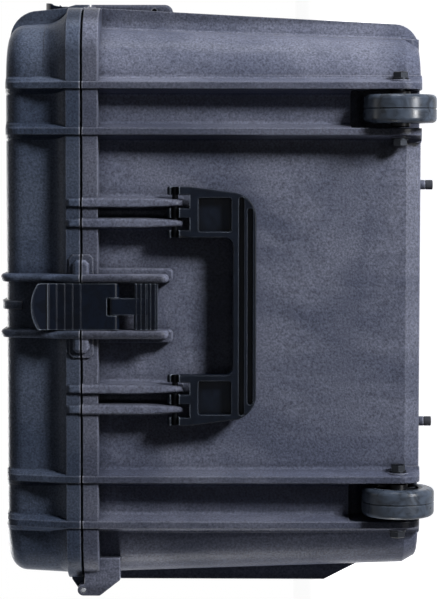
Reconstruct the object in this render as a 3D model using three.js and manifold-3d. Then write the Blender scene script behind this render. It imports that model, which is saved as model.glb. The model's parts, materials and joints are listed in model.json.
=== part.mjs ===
// Wheeled transport case: moulded base and lid, draw latches, fold-down handles, hinge, wheels and feet.
// Millimetres, +Z up, standing on its wheels and feet with the lid on top.
// The wheeled end faces -Y, the front faces +X and the hinge is along -X.
import * as THREE from 'three';
import { mergeVertices } from 'three/addons/utils/BufferGeometryUtils.js';
import Module from 'manifold-3d';

const wasm = await Module();
wasm.setup();

// Base and lid shells
const endWallReach = 360; // half length of the shell at the parting line
const sideWallReach = 284; // half width of the shell at the parting line
const endWallTaper = 8; // lean of the end walls between parting line and bottom
const sideWallTaper = 11; // lean of the long walls between parting line and bottom
const cornerRadius = 50; // upright corners of the shell
const cornerSteps = 6; // flats on each upright corner
const edgeSteps = 3; // flats on each rounded bottom or top edge
const bottomHeight = 14; // underside of the base above the floor
const bottomEdgeRadius = 15;
const partingHeight = 360; // middle of the gap between lid and base
const partingGap = 2;
const wallThickness = 5.5;
const floorThickness = 6;
const lidRise = 79; // top of the lid above the parting line
const lidEdgeRadius = 18;
const lidTaper = 4;
const lidBulge = 6.5; // lid wall beyond the base wall, on the ends and the front
const overrun = 3; // how far joins sink in and cuts run past
const seatGap = 0.3; // clearance between pieces that rest on each other

// Flange and its seal
const flangeProud = 20; // flange beyond the wall, on three sides
const hingeFlangeProud = 2; // flange beyond the wall on the hinge side
const flangeThickness = 16;
const rimWidth = 9; // thickened rim, measured in from the outside of the wall
const rimHeight = 11;
const rimChamfer = 4;
const grooveWidth = 5;
const grooveDepth = 7.4;
const tongueWidth = 2.4;
const tongueHeight = 4;
const sealWidth = 4.2;
const sealInset = 3.5; // middle of the seal, in from the outside of the wall

// Stiffening ribs
const ribFaceWidth = 7.6;
const ribRootWidth = 14.5;
const ribProud = 2.4; // ribs beyond the flange where they cross it
const endRibBottomProud = 27; // end ribs beyond the wall at the bottom
const sideRibBottomProud = 15;
const ribBottomRadius = 24;
const innerEndRibInset = 107; // middle of each inner end rib, in from the side wall
const outerEndRibInset = 60.6;
const frontRibShares = [0.13, 0.745, 0.947]; // between the handle and the corner of the front
const backRibShares = [0.31, 0.484, 0.658]; // between the middle of the back and its corner
const backRibProud = 4; // back ribs beyond the hinge side's flange
const backRibFootHeight = 63; // where the foot of each back rib meets the wall
const backRibFootRise = 47; // height of the slanted foot
const topRibHeight = 4.5; // ribs along the lid above its top
const topRibInset = 60; // how far the side ribs run in over the lid

// Latches
const latchHalfWidth = 23.5;
const latchSideGap = 0.6; // between the latch and the guard ribs beside it
const guardWidth = 8.6;
const guardProud = 10; // guard ribs beyond the flange
const guardDrop = 92.5; // guard ribs below the parting line
const guardEndRadius = 9;
const guardLean = 13; // how far the guard ribs lean in over the lid's wall
const bossWidth = 20;
const bossProud = 7;
const bossHeight = 11.5; // height of each half of the boss beside the latch
const leverPinDrop = 33.2; // lever pin below the parting line
const linkPinDrop = 68.5; // link pin below the parting line
const latchPinProud = 3; // both pins beyond the flange
const latchPinRadius = 2.5;
const pinClearance = 0.3;
const leverThickness = 7.5;
const leverBossRadius = 5.5;
const leverTipRise = 43; // edge of the grip above the parting line
const leverTipCrown = 7; // how much the middle of the grip stands above its edges
const leverTipFlare = 5; // how far the grip leans outward
const leverFlareRise = 24; // where the grip starts to lean
const hookDepth = 8; // how far the hook reaches in over the lid flange
const hookThickness = 7;
const hookClearance = 0.5;
const latchRidgeDepth = 1.4;
const latchRidgeWidth = 2.4;
const leverRidgePitch = 8;
const leverRidges = 5;
const linkRidgePitch = 5.4;
const linkRidges = 4;
const tongueHalfWidth = 8.5;
const forkGap = 0.6;
const linkPlateTopDrop = 57.5; // top of the ridged plate below the parting line
const linkPlateBottomDrop = 78; // bottom of the ridged plate below the parting line
const linkThickness = 9;
const frontLatchShare = 0.443; // between the handle and the corner of the front

// Fold-down handles
const handlePinDrop = 95; // handle pin below the parting line
const handlePinInset = 4; // handle pin in from the flange face
const handlePinRadius = 3;
const handleInnerHalf = 69.5; // clear half width between the arms
const innerFingerWidth = 8;
const middleFingerWidth = 9.8;
const outerFingerWidth = 8.5;
const lugWidth = 9;
const innerFingerGap = 2.3; // between the innermost finger and its lug
const middleFingerGap = 0.9; // on both sides of the middle finger
const outerFingerGap = 3.6; // between the outer lug and the outermost finger
const lugDrop = 105; // end of the lugs below the parting line
const lugProud = 3.5; // lugs beyond the flange
const handleKnuckleRadius = 8;
const handleThickness = 13;
const handleBarDrop = 110; // top of the cross bar below the parting line
const handleBarHeight = 9;
const handleReachDrop = 177.5; // far edge of the grip below the parting line
const handleGripHeight = 24;
const handleOuterCorner = 26;
const handleArmTaper = 5.5; // how far the arms draw in towards the grip
const handleInnerCorner = 8;
const pocketDepth = 9;
const pocketMargin = 6.5;
const gripGrooveWidth = 4.2;
const gripGroovePitch = 9;
const gripGrooveDepth = 8;
const gripGrooveMargin = 11;

// Hinge
const hingeAxisProud = 8.5; // hinge axis beyond the flange on the hinge side
const knuckleRadius = 6;
const hingePinRadius = 2.5;
const hingeInset = 44; // middle of each outer hinge, in from the end wall
const baseKnuckleWidth = 16;
const lidKnuckleWidth = 56;
const knuckleGap = 1;
const hingeWebReach = 25; // how far the webs run in under the flange to meet the rounded corner
const hingeWebDrop = 38; // foot of the web below the parting line
const hingeWebRise = 13; // top of the lid knuckle's web above the parting line

// Wheels
const wheelRadius = 37;
const tyreWidth = 28.8;
const tyreShoulder = 5;
const tyreBoreRadius = 26;
const tyreSeamWidth = 1.6;
const tyreSeamDepth = 1;
const hubWebWidth = 16;
const hubBossRadius = 11;
const hubRimRadius = 20.5;
const hubSpokes = 6;
const hubPocketRadius = 3.6;
const hubPocketPlace = 15.7;
const wheelInset = 16; // wheel axis in from the flange face
const wheelSideGap = 0.9; // between the hub's boss and the ribs beside it
const wellClearance = 6; // around the tyre
const wellTopClearance = 13;
const wellCornerRadius = 22;
const axleRadius = 4;
const axleHeadRadius = 8.6;
const axleHeadWidth = 8;
const axleNutWidth = 8;
const axleClearance = 0.3;
const axleBossRadius = 11; // round boss on the outside of each fork rib
const axleBossProud = 2.4;
const wheelClearance = 0.08;

// Feet
const nearFeetPlace = 123; // near pair of feet from the centre line
const farFeetPlace = 200;
const footInset = 32; // feet in from the bottom of the end walls
const footRadius = 5;
const footStemHeight = 6;
const footTipSpigot = 2;
const footTipSpigotRadius = 2.5;

// Round sections
const pinSides = 12;
const wheelSides = 28;

// Places that follow from the sizes above
const lidUnder = partingHeight + partingGap / 2;
const baseTop = partingHeight - partingGap / 2;
const lidTop = partingHeight + lidRise;
const endFace = endWallReach + flangeProud;
const frontFace = sideWallReach + flangeProud;
const hingeFace = sideWallReach + hingeFlangeProud;
const flangeBottom = baseTop - flangeThickness;
const lidFlangeTop = lidUnder + flangeThickness - partingGap / 2;
const hingeAxis = hingeFace + hingeAxisProud;
const hingePlace = endWallReach - hingeInset;
const footPlace = endWallReach - endWallTaper - footInset;
const innerLugPlace = handleInnerHalf + innerFingerWidth + innerFingerGap + lugWidth / 2;
const middleFingerPlace = innerLugPlace + lugWidth / 2 + middleFingerGap + middleFingerWidth / 2;
const outerLugPlace = middleFingerPlace + middleFingerWidth / 2 + middleFingerGap + lugWidth / 2;
const outerFingerPlace = outerLugPlace + lugWidth / 2 + outerFingerGap + outerFingerWidth / 2;
const handleOuterHalf = outerFingerPlace + outerFingerWidth / 2;
const straightWallReach = endWallReach - cornerRadius;
const frontFreeSpan = straightWallReach - handleOuterHalf;
const frontLatchPlace = handleOuterHalf + frontLatchShare * frontFreeSpan;
const frontRibPlaces = frontRibShares.map((share) => handleOuterHalf + share * frontFreeSpan);
const backRibPlaces = backRibShares.map((share) => share * straightWallReach);
const innerEndRibPlace = sideWallReach - innerEndRibInset;
const outerEndRibPlace = sideWallReach - outerEndRibInset;
const guardInner = latchHalfWidth + latchSideGap;
const wheelAxisPlace = endFace - wheelInset;
const wheelPlace = (innerEndRibPlace + outerEndRibPlace) / 2;
const wellHalfWidth = (outerEndRibPlace - innerEndRibPlace - ribFaceWidth) / 2;

const looks = {
  shell: { color: 0x4b5162, roughness: 0.62, metalness: 0 },
  lid: { color: 0x3d4454, roughness: 0.6, metalness: 0 },
  latch: { color: 0x141a22, roughness: 0.35, metalness: 0 },
  handle: { color: 0x1b222b, roughness: 0.45, metalness: 0 },
  steel: { color: 0x8b8e93, roughness: 0.35, metalness: 1 },
  darkSteel: { color: 0x2a2622, roughness: 0.5, metalness: 1 },
  tyre: { color: 0x3f4856, roughness: 0.7, metalness: 0 },
  hub: { color: 0x1a1d22, roughness: 0.5, metalness: 0 },
  rubber: { color: 0x15161a, roughness: 0.85, metalness: 0 },
};

// Turns a closed geometry into a solid, with its faces pointing out.
function solid(geometry) {
  const bare = geometry.index ? geometry.toNonIndexed() : geometry.clone();
  bare.deleteAttribute('normal');
  bare.deleteAttribute('uv');
  const merged = mergeVertices(bare);
  const mesh = new wasm.Mesh({
    numProp: 3,
    vertProperties: new Float32Array(merged.attributes.position.array),
    triVerts: new Uint32Array(merged.index.array),
  });
  return new wasm.Manifold(mesh);
}

function joined(geometries) {
  return geometries.map(solid).reduce((whole, piece) => whole.add(piece));
}

function cut(whole, geometries) {
  return geometries.map(solid).reduce((rest, piece) => rest.subtract(piece), whole);
}

function geometryOf(shape) {
  const { vertProperties, triVerts, numProp } = shape.getMesh();
  const positions = new Float32Array((vertProperties.length / numProp) * 3);
  for (let i = 0; i < positions.length / 3; i += 1) {
    positions.set(vertProperties.subarray(i * numProp, i * numProp + 3), i * 3);
  }
  const geometry = new THREE.BufferGeometry();
  geometry.setAttribute('position', new THREE.BufferAttribute(positions, 3));
  geometry.setIndex(new THREE.BufferAttribute(new Uint32Array(triVerts), 1));
  geometry.computeVertexNormals();
  return geometry;
}

function piece(name, geometry, look) {
  const mesh = new THREE.Mesh(geometry, new THREE.MeshStandardMaterial(looks[look]));
  mesh.name = name;
  return mesh;
}

// A closed body through level rings that all have the same number of points.
function loft(rings) {
  const count = rings[0].length;
  const positions = rings.flat(2);
  const index = [];
  for (let level = 0; level + 1 < rings.length; level += 1) {
    for (let i = 0; i < count; i += 1) {
      const here = level * count + i;
      const next = level * count + ((i + 1) % count);
      index.push(here, next, next + count, here, next + count, here + count);
    }
  }
  const flat = rings[0].map(([x, y]) => new THREE.Vector2(x, y));
  const top = (rings.length - 1) * count;
  for (const [a, b, c] of THREE.ShapeUtils.triangulateShape(flat, [])) {
    index.push(c, b, a, top + a, top + b, top + c);
  }
  const geometry = new THREE.BufferGeometry();
  geometry.setAttribute('position', new THREE.BufferAttribute(new Float32Array(positions), 3));
  geometry.setIndex(index);
  return geometry;
}

// A rounded rectangle at one height, counter-clockwise from above.
function planRing(height, backReach, frontReach, endReach, radius) {
  const centres = [
    [frontReach - radius, endReach - radius],
    [radius - backReach, endReach - radius],
    [radius - backReach, radius - endReach],
    [frontReach - radius, radius - endReach],
  ];
  return centres.flatMap(([x, y], quarter) => [...Array(cornerSteps + 1).keys()].map((i) => {
    const angle = ((quarter + i / cornerSteps) * Math.PI) / 2;
    return [x + radius * Math.cos(angle), y + radius * Math.sin(angle), height];
  }));
}

// How far the base wall has leaned in at a height, from 0 at the parting line to 1 at the bottom.
function taperShare(height) {
  return (partingHeight - height) / (partingHeight - bottomHeight);
}

function baseRing(height, inset) {
  const side = sideWallReach - sideWallTaper * taperShare(height) - inset;
  const end = endWallReach - endWallTaper * taperShare(height) - inset;
  return planRing(height, side, side, end, cornerRadius - inset / 2);
}

function lidRing(height, inset, bulge = 0) {
  const lean = (lidTaper * (height - partingHeight)) / lidRise + inset;
  return planRing(height, sideWallReach - lean, sideWallReach - lean + bulge, endWallReach - lean + bulge,
    cornerRadius - lean / 2);
}

function flangeRing(height, inset) {
  return planRing(height, hingeFace - inset, frontFace - inset, endFace - inset, cornerRadius);
}

// The four sides: each turns a shape drawn for the +X side, measured out from the flange face.
const sides = {
  front: { turn: 0, face: frontFace, wall: sideWallReach, taper: sideWallTaper, bottomProud: sideRibBottomProud },
  far: { turn: Math.PI / 2, face: endFace, wall: endWallReach, taper: endWallTaper, bottomProud: endRibBottomProud },
  back: { turn: Math.PI, face: hingeFace, wall: sideWallReach, taper: sideWallTaper, bottomProud: hingeFlangeProud },
  near: { turn: -Math.PI / 2, face: endFace, wall: endWallReach, taper: endWallTaper, bottomProud: endRibBottomProud },
};

function placed(geometry, side, along) {
  return geometry.translate(side.face, along, 0).rotateZ(side.turn);
}

// A side view, out from the flange face and up, drawn out from one place across to another.
function across(points, from, to) {
  const shape = new THREE.Shape(points.map(([out, up]) => new THREE.Vector2(out, up)));
  const geometry = new THREE.ExtrudeGeometry(shape, { depth: to - from, bevelEnabled: false });
  return geometry.rotateX(Math.PI / 2).translate(0, to, 0);
}

// A face view, across and up, drawn out from one distance to another.
function outward(points, from, to) {
  const shape = new THREE.Shape(points.map(([place, up]) => new THREE.Vector2(place, up)));
  const geometry = new THREE.ExtrudeGeometry(shape, { depth: to - from, bevelEnabled: false });
  const turn = new THREE.Matrix4().makeBasis(
    new THREE.Vector3(0, 1, 0), new THREE.Vector3(0, 0, 1), new THREE.Vector3(1, 0, 0));
  return geometry.applyMatrix4(turn).translate(from, 0, 0);
}

function block(x0, x1, y0, y1, z0, z1) {
  return new THREE.BoxGeometry(x1 - x0, y1 - y0, z1 - z0)
    .translate((x0 + x1) / 2, (y0 + y1) / 2, (z0 + z1) / 2);
}

// A round bar across a side.
function bar(radius, from, to, out, up, steps = pinSides) {
  return new THREE.CylinderGeometry(radius, radius, to - from, steps)
    .translate(out, (from + to) / 2, up);
}

function arc(out, up, radius, startTurn, endTurn, steps) {
  const points = [];
  for (let i = 0; i <= steps; i += 1) {
    const angle = (startTurn + ((endTurn - startTurn) * i) / steps) * 2 * Math.PI;
    points.push([out + radius * Math.cos(angle), up + radius * Math.sin(angle)]);
  }
  return points;
}

// Stiffening rib on a base wall, with drafted flanks and a rounded foot.
function baseRib(side, along) {
  const foot = arc(0, 0, ribBottomRadius, 0.75, 1, edgeSteps)
    .map(([out, up]) => ({ up: bottomHeight + ribBottomRadius + up, inset: ribBottomRadius - out }));
  const levels = [...foot, { up: baseTop, inset: 0 }];
  const topFace = side.face + ribProud;
  const bottomFace = side.wall - side.taper + side.bottomProud;
  const rings = levels.map(({ up, inset }) => {
    const share = taperShare(up);
    const face = topFace + (bottomFace - topFace) * share - inset;
    const root = side.wall - side.taper * share - ribBottomRadius - overrun;
    return ribRing(root - side.face, face - side.face, up);
  });
  return placed(loft(rings), side, along);
}

function ribRing(root, face, up) {
  return [
    [root, -ribRootWidth / 2, up],
    [face, -ribFaceWidth / 2, up],
    [face, ribFaceWidth / 2, up],
    [root, ribRootWidth / 2, up],
  ];
}

// Rib on the lid wall, from the flange up to the lid's rounded edge.
function lidRib(side, along) {
  const crown = arc(0, 0, lidEdgeRadius, 0, 0.25, edgeSteps)
    .map(([out, up]) => ({ up: lidTop - lidEdgeRadius + up, inset: lidEdgeRadius - out + flangeProud / 2 }));
  const levels = [{ up: lidUnder, inset: -ribProud }, { up: lidFlangeTop, inset: -ribProud }, ...crown];
  const root = side.wall - lidEdgeRadius - overrun - side.face;
  const rings = levels.map(({ up, inset }) => ribRing(Math.min(root, -inset - overrun), -inset, up));
  return placed(loft(rings), side, along);
}

// Rib on the hinge side, with an upright face and a slanted foot.
function backRib(along) {
  const side = sides.back;
  const root = side.wall - side.taper - side.face - overrun;
  const points = [
    [root, flangeBottom + overrun],
    [backRibProud, flangeBottom + overrun],
    [backRibProud, backRibFootHeight + backRibFootRise],
    [root, backRibFootHeight],
  ];
  return placed(across(points, -ribFaceWidth / 2, ribFaceWidth / 2), side, along);
}

// Guard rib beside a latch, on the base.
function baseGuard(side, along, place) {
  const foot = partingHeight - guardDrop + guardEndRadius;
  const points = [
    [side.wall - side.face - side.taper - overrun, baseTop],
    [guardProud, baseTop],
    ...arc(guardProud - guardEndRadius, foot, guardEndRadius, 0, -0.25, edgeSteps),
    [side.wall - side.face - side.taper - overrun, partingHeight - guardDrop],
  ];
  return placed(across(points, place - guardWidth / 2, place + guardWidth / 2), side, along);
}

// Guard rib beside a latch, up the lid wall and in over its top.
function lidGuard(side, along, place) {
  const top = lidTop + topRibHeight;
  const lean = guardProud - guardLean;
  const points = [
    [side.wall - side.face - rimWidth, lidUnder],
    [guardProud, lidUnder],
    [guardProud, lidFlangeTop],
    [lean, top - lidEdgeRadius - topRibHeight],
    ...arc(lean - lidEdgeRadius, top - lidEdgeRadius, lidEdgeRadius, 0, 0.25, edgeSteps),
    [-topRibInset - flangeProud, top],
    [-topRibInset - flangeProud, lidTop - overrun],
    [side.wall - side.face - lidEdgeRadius, lidTop - lidEdgeRadius],
    [side.wall - side.face - overrun, lidFlangeTop],
  ];
  return placed(across(points, place - guardWidth / 2, place + guardWidth / 2), side, along);
}

function boss(side, along, place, from, to) {
  const points = [
    ...arc(place, bossProud - bossWidth / 2, bossWidth / 2, 0, 0.5, edgeSteps * 2),
    [place - bossWidth / 2, -flangeProud / 2],
    [place + bossWidth / 2, -flangeProud / 2],
  ];
  const shape = new THREE.Shape(points.map(([a, out]) => new THREE.Vector2(out, a)));
  const geometry = new THREE.ExtrudeGeometry(shape, { depth: to - from, bevelEnabled: false });
  return placed(geometry.translate(0, 0, from), side, along);
}

const guardPlace = guardInner + guardWidth / 2;
const bossPlace = guardInner + guardWidth + bossWidth / 2;

function latchBaseParts(side, along) {
  return [1, -1].flatMap((hand) => [
    baseGuard(side, along, hand * guardPlace),
    boss(side, along, hand * bossPlace, baseTop - bossHeight, baseTop),
  ]);
}

function latchLidParts(side, along) {
  return [1, -1].flatMap((hand) => [
    lidGuard(side, along, hand * guardPlace),
    boss(side, along, hand * bossPlace, lidUnder, lidUnder + bossHeight),
  ]);
}

// The link pin is held in a hole in each guard rib.
const linkPinHalf = guardInner + guardWidth - seatGap;

function latchBaseCuts(side, along) {
  const half = guardInner + guardWidth + overrun;
  return [placed(bar(latchPinRadius + pinClearance, -half, half, latchPinProud,
    partingHeight - linkPinDrop), side, along)];
}

// Handle lugs: ribs from the flange down to the handle pin.
function handleLug(side, along, place) {
  const up = partingHeight - handlePinDrop;
  const points = [
    [side.wall - side.face - side.taper - overrun, baseTop],
    [lugProud, baseTop],
    ...arc(lugProud - handleKnuckleRadius, up, handleKnuckleRadius, 0, -0.25, edgeSteps),
    [side.wall - side.face - side.taper - overrun, partingHeight - lugDrop],
  ];
  return placed(across(points, place - lugWidth / 2, place + lugWidth / 2), side, along);
}

function lidLug(side, along, place) {
  const points = [
    [side.wall - side.face, lidUnder],
    [lugProud, lidUnder],
    [lugProud, lidFlangeTop - lugProud],
    [0, lidFlangeTop],
    [side.wall - side.face, lidFlangeTop],
  ];
  return placed(across(points, place - lugWidth / 2, place + lugWidth / 2), side, along);
}

const lugPlaces = [innerLugPlace, outerLugPlace, -innerLugPlace, -outerLugPlace];

// Hinge knuckles, drawn out from the flange face on the hinge side.
function baseKnuckle(along) {
  const foot = partingHeight - hingeWebDrop;
  const points = [
    [-hingeWebReach, baseTop],
    [hingeAxisProud - knuckleRadius, baseTop],
    ...arc(hingeAxisProud, partingHeight, knuckleRadius, 0.5, 0, edgeSteps * 2),
    [hingeAxisProud + knuckleRadius, flangeBottom],
    [-hingeFlangeProud, foot],
    [-hingeWebReach, foot],
  ];
  return placed(across(points, -baseKnuckleWidth / 2, baseKnuckleWidth / 2), sides.back, along);
}

function lidKnuckle(along) {
  const points = [
    [-hingeWebReach / 2, lidUnder],
    ...arc(hingeAxisProud, partingHeight, knuckleRadius, -0.48, 0, edgeSteps * 2),
    [hingeAxisProud + knuckleRadius, partingHeight + knuckleRadius / 2],
    [0, partingHeight + hingeWebRise],
    [-hingeWebReach / 2, partingHeight + hingeWebRise],
  ];
  return placed(across(points, -lidKnuckleWidth / 2, lidKnuckleWidth / 2), sides.back, along);
}

const hingePlaces = [-hingePlace, 0, hingePlace];
const baseKnuckleOffset = lidKnuckleWidth / 2 + knuckleGap + baseKnuckleWidth / 2;
const hingeHalf = baseKnuckleOffset + baseKnuckleWidth / 2;

function hingeBore(along) {
  const half = hingeHalf + overrun;
  return placed(bar(hingePinRadius + pinClearance, -half, half, hingeAxisProud, partingHeight), sides.back, along);
}

// Wheel well: a pocket between two end ribs, open downward and outward.
function wellProfile(grown) {
  const inner = -wheelInset - wheelRadius - wellClearance - grown;
  const top = 2 * wheelRadius + wellTopClearance + grown;
  const radius = wellCornerRadius + grown;
  return [
    [flangeProud, -overrun],
    [flangeProud, top],
    ...arc(inner + radius, top - radius, radius, 0.25, 0.5, edgeSteps),
    [inner, -overrun],
  ];
}

function well(place, grown) {
  const half = wellHalfWidth + grown;
  return placed(across(wellProfile(grown), place - half, place + half), sides.near, 0);
}

// Base shell
const bottomEdge = arc(0, 0, bottomEdgeRadius, 0.75, 1, edgeSteps)
  .map(([out, up]) => baseRing(bottomHeight + bottomEdgeRadius + up, bottomEdgeRadius - out));
const baseOutside = loft([...bottomEdge, baseRing(baseTop, 0)]);
const baseInside = loft([
  baseRing(bottomHeight + floorThickness, bottomEdgeRadius),
  baseRing(bottomHeight + bottomEdgeRadius, wallThickness),
  baseRing(baseTop - rimHeight - rimChamfer, wallThickness),
  baseRing(baseTop - rimHeight, rimWidth),
  baseRing(baseTop + overrun, rimWidth),
]);
const baseFlange = loft([flangeRing(flangeBottom, 0), flangeRing(baseTop, 0)]);
const tongueOut = loft([
  baseRing(baseTop - overrun, sealInset - tongueWidth / 2),
  baseRing(baseTop + tongueHeight, sealInset - tongueWidth / 2),
]);
const tongueIn = loft([
  baseRing(baseTop - overrun - overrun, sealInset + tongueWidth / 2),
  baseRing(baseTop + tongueHeight + overrun, sealInset + tongueWidth / 2),
]);

const endRibPlaces = [innerEndRibPlace, outerEndRibPlace, -innerEndRibPlace, -outerEndRibPlace];
const frontRibs = frontRibPlaces.flatMap((place) => [place, -place]);
const backRibs = backRibPlaces.flatMap((place) => [place, -place]);

const latchStations = [
  { name: 'near', side: sides.near, along: 0 },
  { name: 'far', side: sides.far, along: 0 },
  { name: 'front_left', side: sides.front, along: -frontLatchPlace },
  { name: 'front_right', side: sides.front, along: frontLatchPlace },
];
const handleStations = [
  { name: 'near', side: sides.near },
  { name: 'far', side: sides.far },
  { name: 'front', side: sides.front },
];
const feet = [
  { name: 'near_left', x: -nearFeetPlace, y: -footPlace },
  { name: 'near_right', x: nearFeetPlace, y: -footPlace },
  { name: 'far_left', x: -farFeetPlace, y: footPlace },
  { name: 'far_right', x: farFeetPlace, y: footPlace },
];

function footStem(foot) {
  return new THREE.CylinderGeometry(footRadius, footRadius, footStemHeight + overrun, pinSides)
    .rotateX(Math.PI / 2)
    .translate(foot.x, foot.y, bottomHeight - footStemHeight + (footStemHeight + overrun) / 2);
}

function footSpigotHole(foot) {
  const radius = footTipSpigotRadius + pinClearance;
  const depth = footTipSpigot + seatGap;
  return new THREE.CylinderGeometry(radius, radius, depth + overrun, pinSides)
    .rotateX(Math.PI / 2)
    .translate(foot.x, foot.y, bottomHeight - footStemHeight + (depth - overrun) / 2);
}

function handlePinBore(side) {
  return [1, -1].map((hand) => {
    const ends = [
      hand * (innerLugPlace - lugWidth / 2 - overrun / 2),
      hand * (outerLugPlace + lugWidth / 2 + overrun / 2),
    ].sort((a, b) => a - b);
    return placed(bar(handlePinRadius + pinClearance, ends[0], ends[1], -handlePinInset,
      partingHeight - handlePinDrop), side, 0);
  });
}

const wheelHands = [{ name: 'left', hand: -1 }, { name: 'right', hand: 1 }];
const forkOuter = outerEndRibPlace + ribFaceWidth / 2 + axleBossProud;
const forkInner = innerEndRibPlace - ribFaceWidth / 2 - axleBossProud;

function axleBoss(hand) {
  const from = Math.min(hand * forkInner, hand * forkOuter);
  const to = Math.max(hand * forkInner, hand * forkOuter);
  return placed(bar(axleBossRadius, from, to, -wheelInset, wheelRadius), sides.near, 0);
}

function axleBore(hand) {
  const from = Math.min(hand * forkInner, hand * forkOuter) - wallThickness;
  const to = Math.max(hand * forkInner, hand * forkOuter) + wallThickness;
  return placed(bar(axleRadius + axleClearance, from, to, -wheelInset, wheelRadius), sides.near, 0);
}

function makeBase() {
  const cavity = cut(solid(baseInside), wheelHands.map(({ hand }) => well(hand * wheelPlace, wallThickness)));
  const outside = joined([
    baseOutside,
    baseFlange,
    ...endRibPlaces.flatMap((place) => [baseRib(sides.near, place), baseRib(sides.far, place)]),
    ...frontRibs.map((place) => baseRib(sides.front, place)),
    ...backRibs.map(backRib),
    ...latchStations.flatMap(({ side, along }) => latchBaseParts(side, along)),
    ...handleStations.flatMap(({ side }) => lugPlaces.map((place) => handleLug(side, 0, place))),
    ...hingePlaces.flatMap((place) => [baseKnuckle(place + baseKnuckleOffset), baseKnuckle(place - baseKnuckleOffset)]),
    ...feet.map(footStem),
    ...wheelHands.map(({ hand }) => axleBoss(hand)),
  ]);
  const shell = outside.subtract(cavity).add(solid(tongueOut).subtract(solid(tongueIn)));
  return cut(shell, [
    ...wheelHands.map(({ hand }) => well(hand * wheelPlace, 0)),
    ...wheelHands.map(({ hand }) => axleBore(hand)),
    ...latchStations.flatMap(({ side, along }) => latchBaseCuts(side, along)),
    ...handleStations.flatMap(({ side }) => handlePinBore(side)),
    ...hingePlaces.map(hingeBore),
    ...feet.map(footSpigotHole),
  ]);
}

// Lid shell
const lidEdge = arc(0, 0, lidEdgeRadius, 0, 0.25, edgeSteps)
  .map(([out, up]) => lidRing(lidTop - lidEdgeRadius + up, lidEdgeRadius - out, lidBulge));
const lidOutside = loft([lidRing(lidUnder, 0, lidBulge), ...lidEdge]);
const lidInside = loft([
  lidRing(lidUnder - overrun, rimWidth),
  lidRing(lidUnder + rimHeight, rimWidth),
  lidRing(lidUnder + rimHeight + rimChamfer + lidBulge, wallThickness, lidBulge),
  lidRing(lidTop - lidEdgeRadius, wallThickness, lidBulge),
  lidRing(lidTop - wallThickness, lidEdgeRadius, lidBulge),
]);
const lidFlange = loft([flangeRing(lidUnder, 0), flangeRing(lidFlangeTop, 0)]);
const grooveOut = loft([
  lidRing(lidUnder - overrun, sealInset - grooveWidth / 2),
  lidRing(lidUnder + grooveDepth, sealInset - grooveWidth / 2),
]);
const grooveIn = loft([
  lidRing(lidUnder - overrun - overrun, sealInset + grooveWidth / 2),
  lidRing(lidUnder + grooveDepth + overrun, sealInset + grooveWidth / 2),
]);

// Ribs along the top of the lid, between the guard ribs of the two end latches.
function topRib(place) {
  const half = endWallReach + lidBulge - lidEdgeRadius - lidTaper;
  return block(place - guardWidth / 2, place + guardWidth / 2, -half, half, lidTop - overrun, lidTop + topRibHeight);
}

// End of the middle top rib, over the lid's rounded edge.
function crownRib(side) {
  const wall = side.wall + lidBulge - lidTaper - side.face;
  const centre = lidTop - lidEdgeRadius;
  const points = [
    [wall - lidEdgeRadius, centre],
    ...arc(wall - lidEdgeRadius, centre, lidEdgeRadius + topRibHeight, 0, 0.25, edgeSteps),
    [-topRibInset - flangeProud, lidTop + topRibHeight],
    [-topRibInset - flangeProud, lidTop - overrun],
    [wall - lidEdgeRadius, lidTop - overrun],
  ];
  return placed(across(points, -guardWidth / 2, guardWidth / 2), side, 0);
}

function makeLid() {
  const outside = joined([
    lidOutside,
    lidFlange,
    ...endRibPlaces.flatMap((place) => [lidRib(sides.near, place), lidRib(sides.far, place)]),
    ...frontRibs.map((place) => lidRib(sides.front, place)),
    ...latchStations.flatMap(({ side, along }) => latchLidParts(side, along)),
    ...handleStations.flatMap(({ side }) => lugPlaces.map((place) => lidLug(side, 0, place))),
    ...hingePlaces.map(lidKnuckle),
    ...[-guardPlace, 0, guardPlace].map(topRib),
    crownRib(sides.near),
    crownRib(sides.far),
  ]);
  const shell = outside.subtract(solid(lidInside)).subtract(solid(grooveOut).subtract(solid(grooveIn)));
  return cut(shell, hingePlaces.map(hingeBore));
}

function makeSeal() {
  const from = baseTop + tongueHeight + seatGap;
  const to = lidUnder + grooveDepth - seatGap;
  const out = loft([lidRing(from, sealInset - sealWidth / 2), lidRing(to, sealInset - sealWidth / 2)]);
  const inside = loft([
    lidRing(from - overrun, sealInset + sealWidth / 2),
    lidRing(to + overrun, sealInset + sealWidth / 2),
  ]);
  return solid(out).subtract(solid(inside));
}

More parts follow.
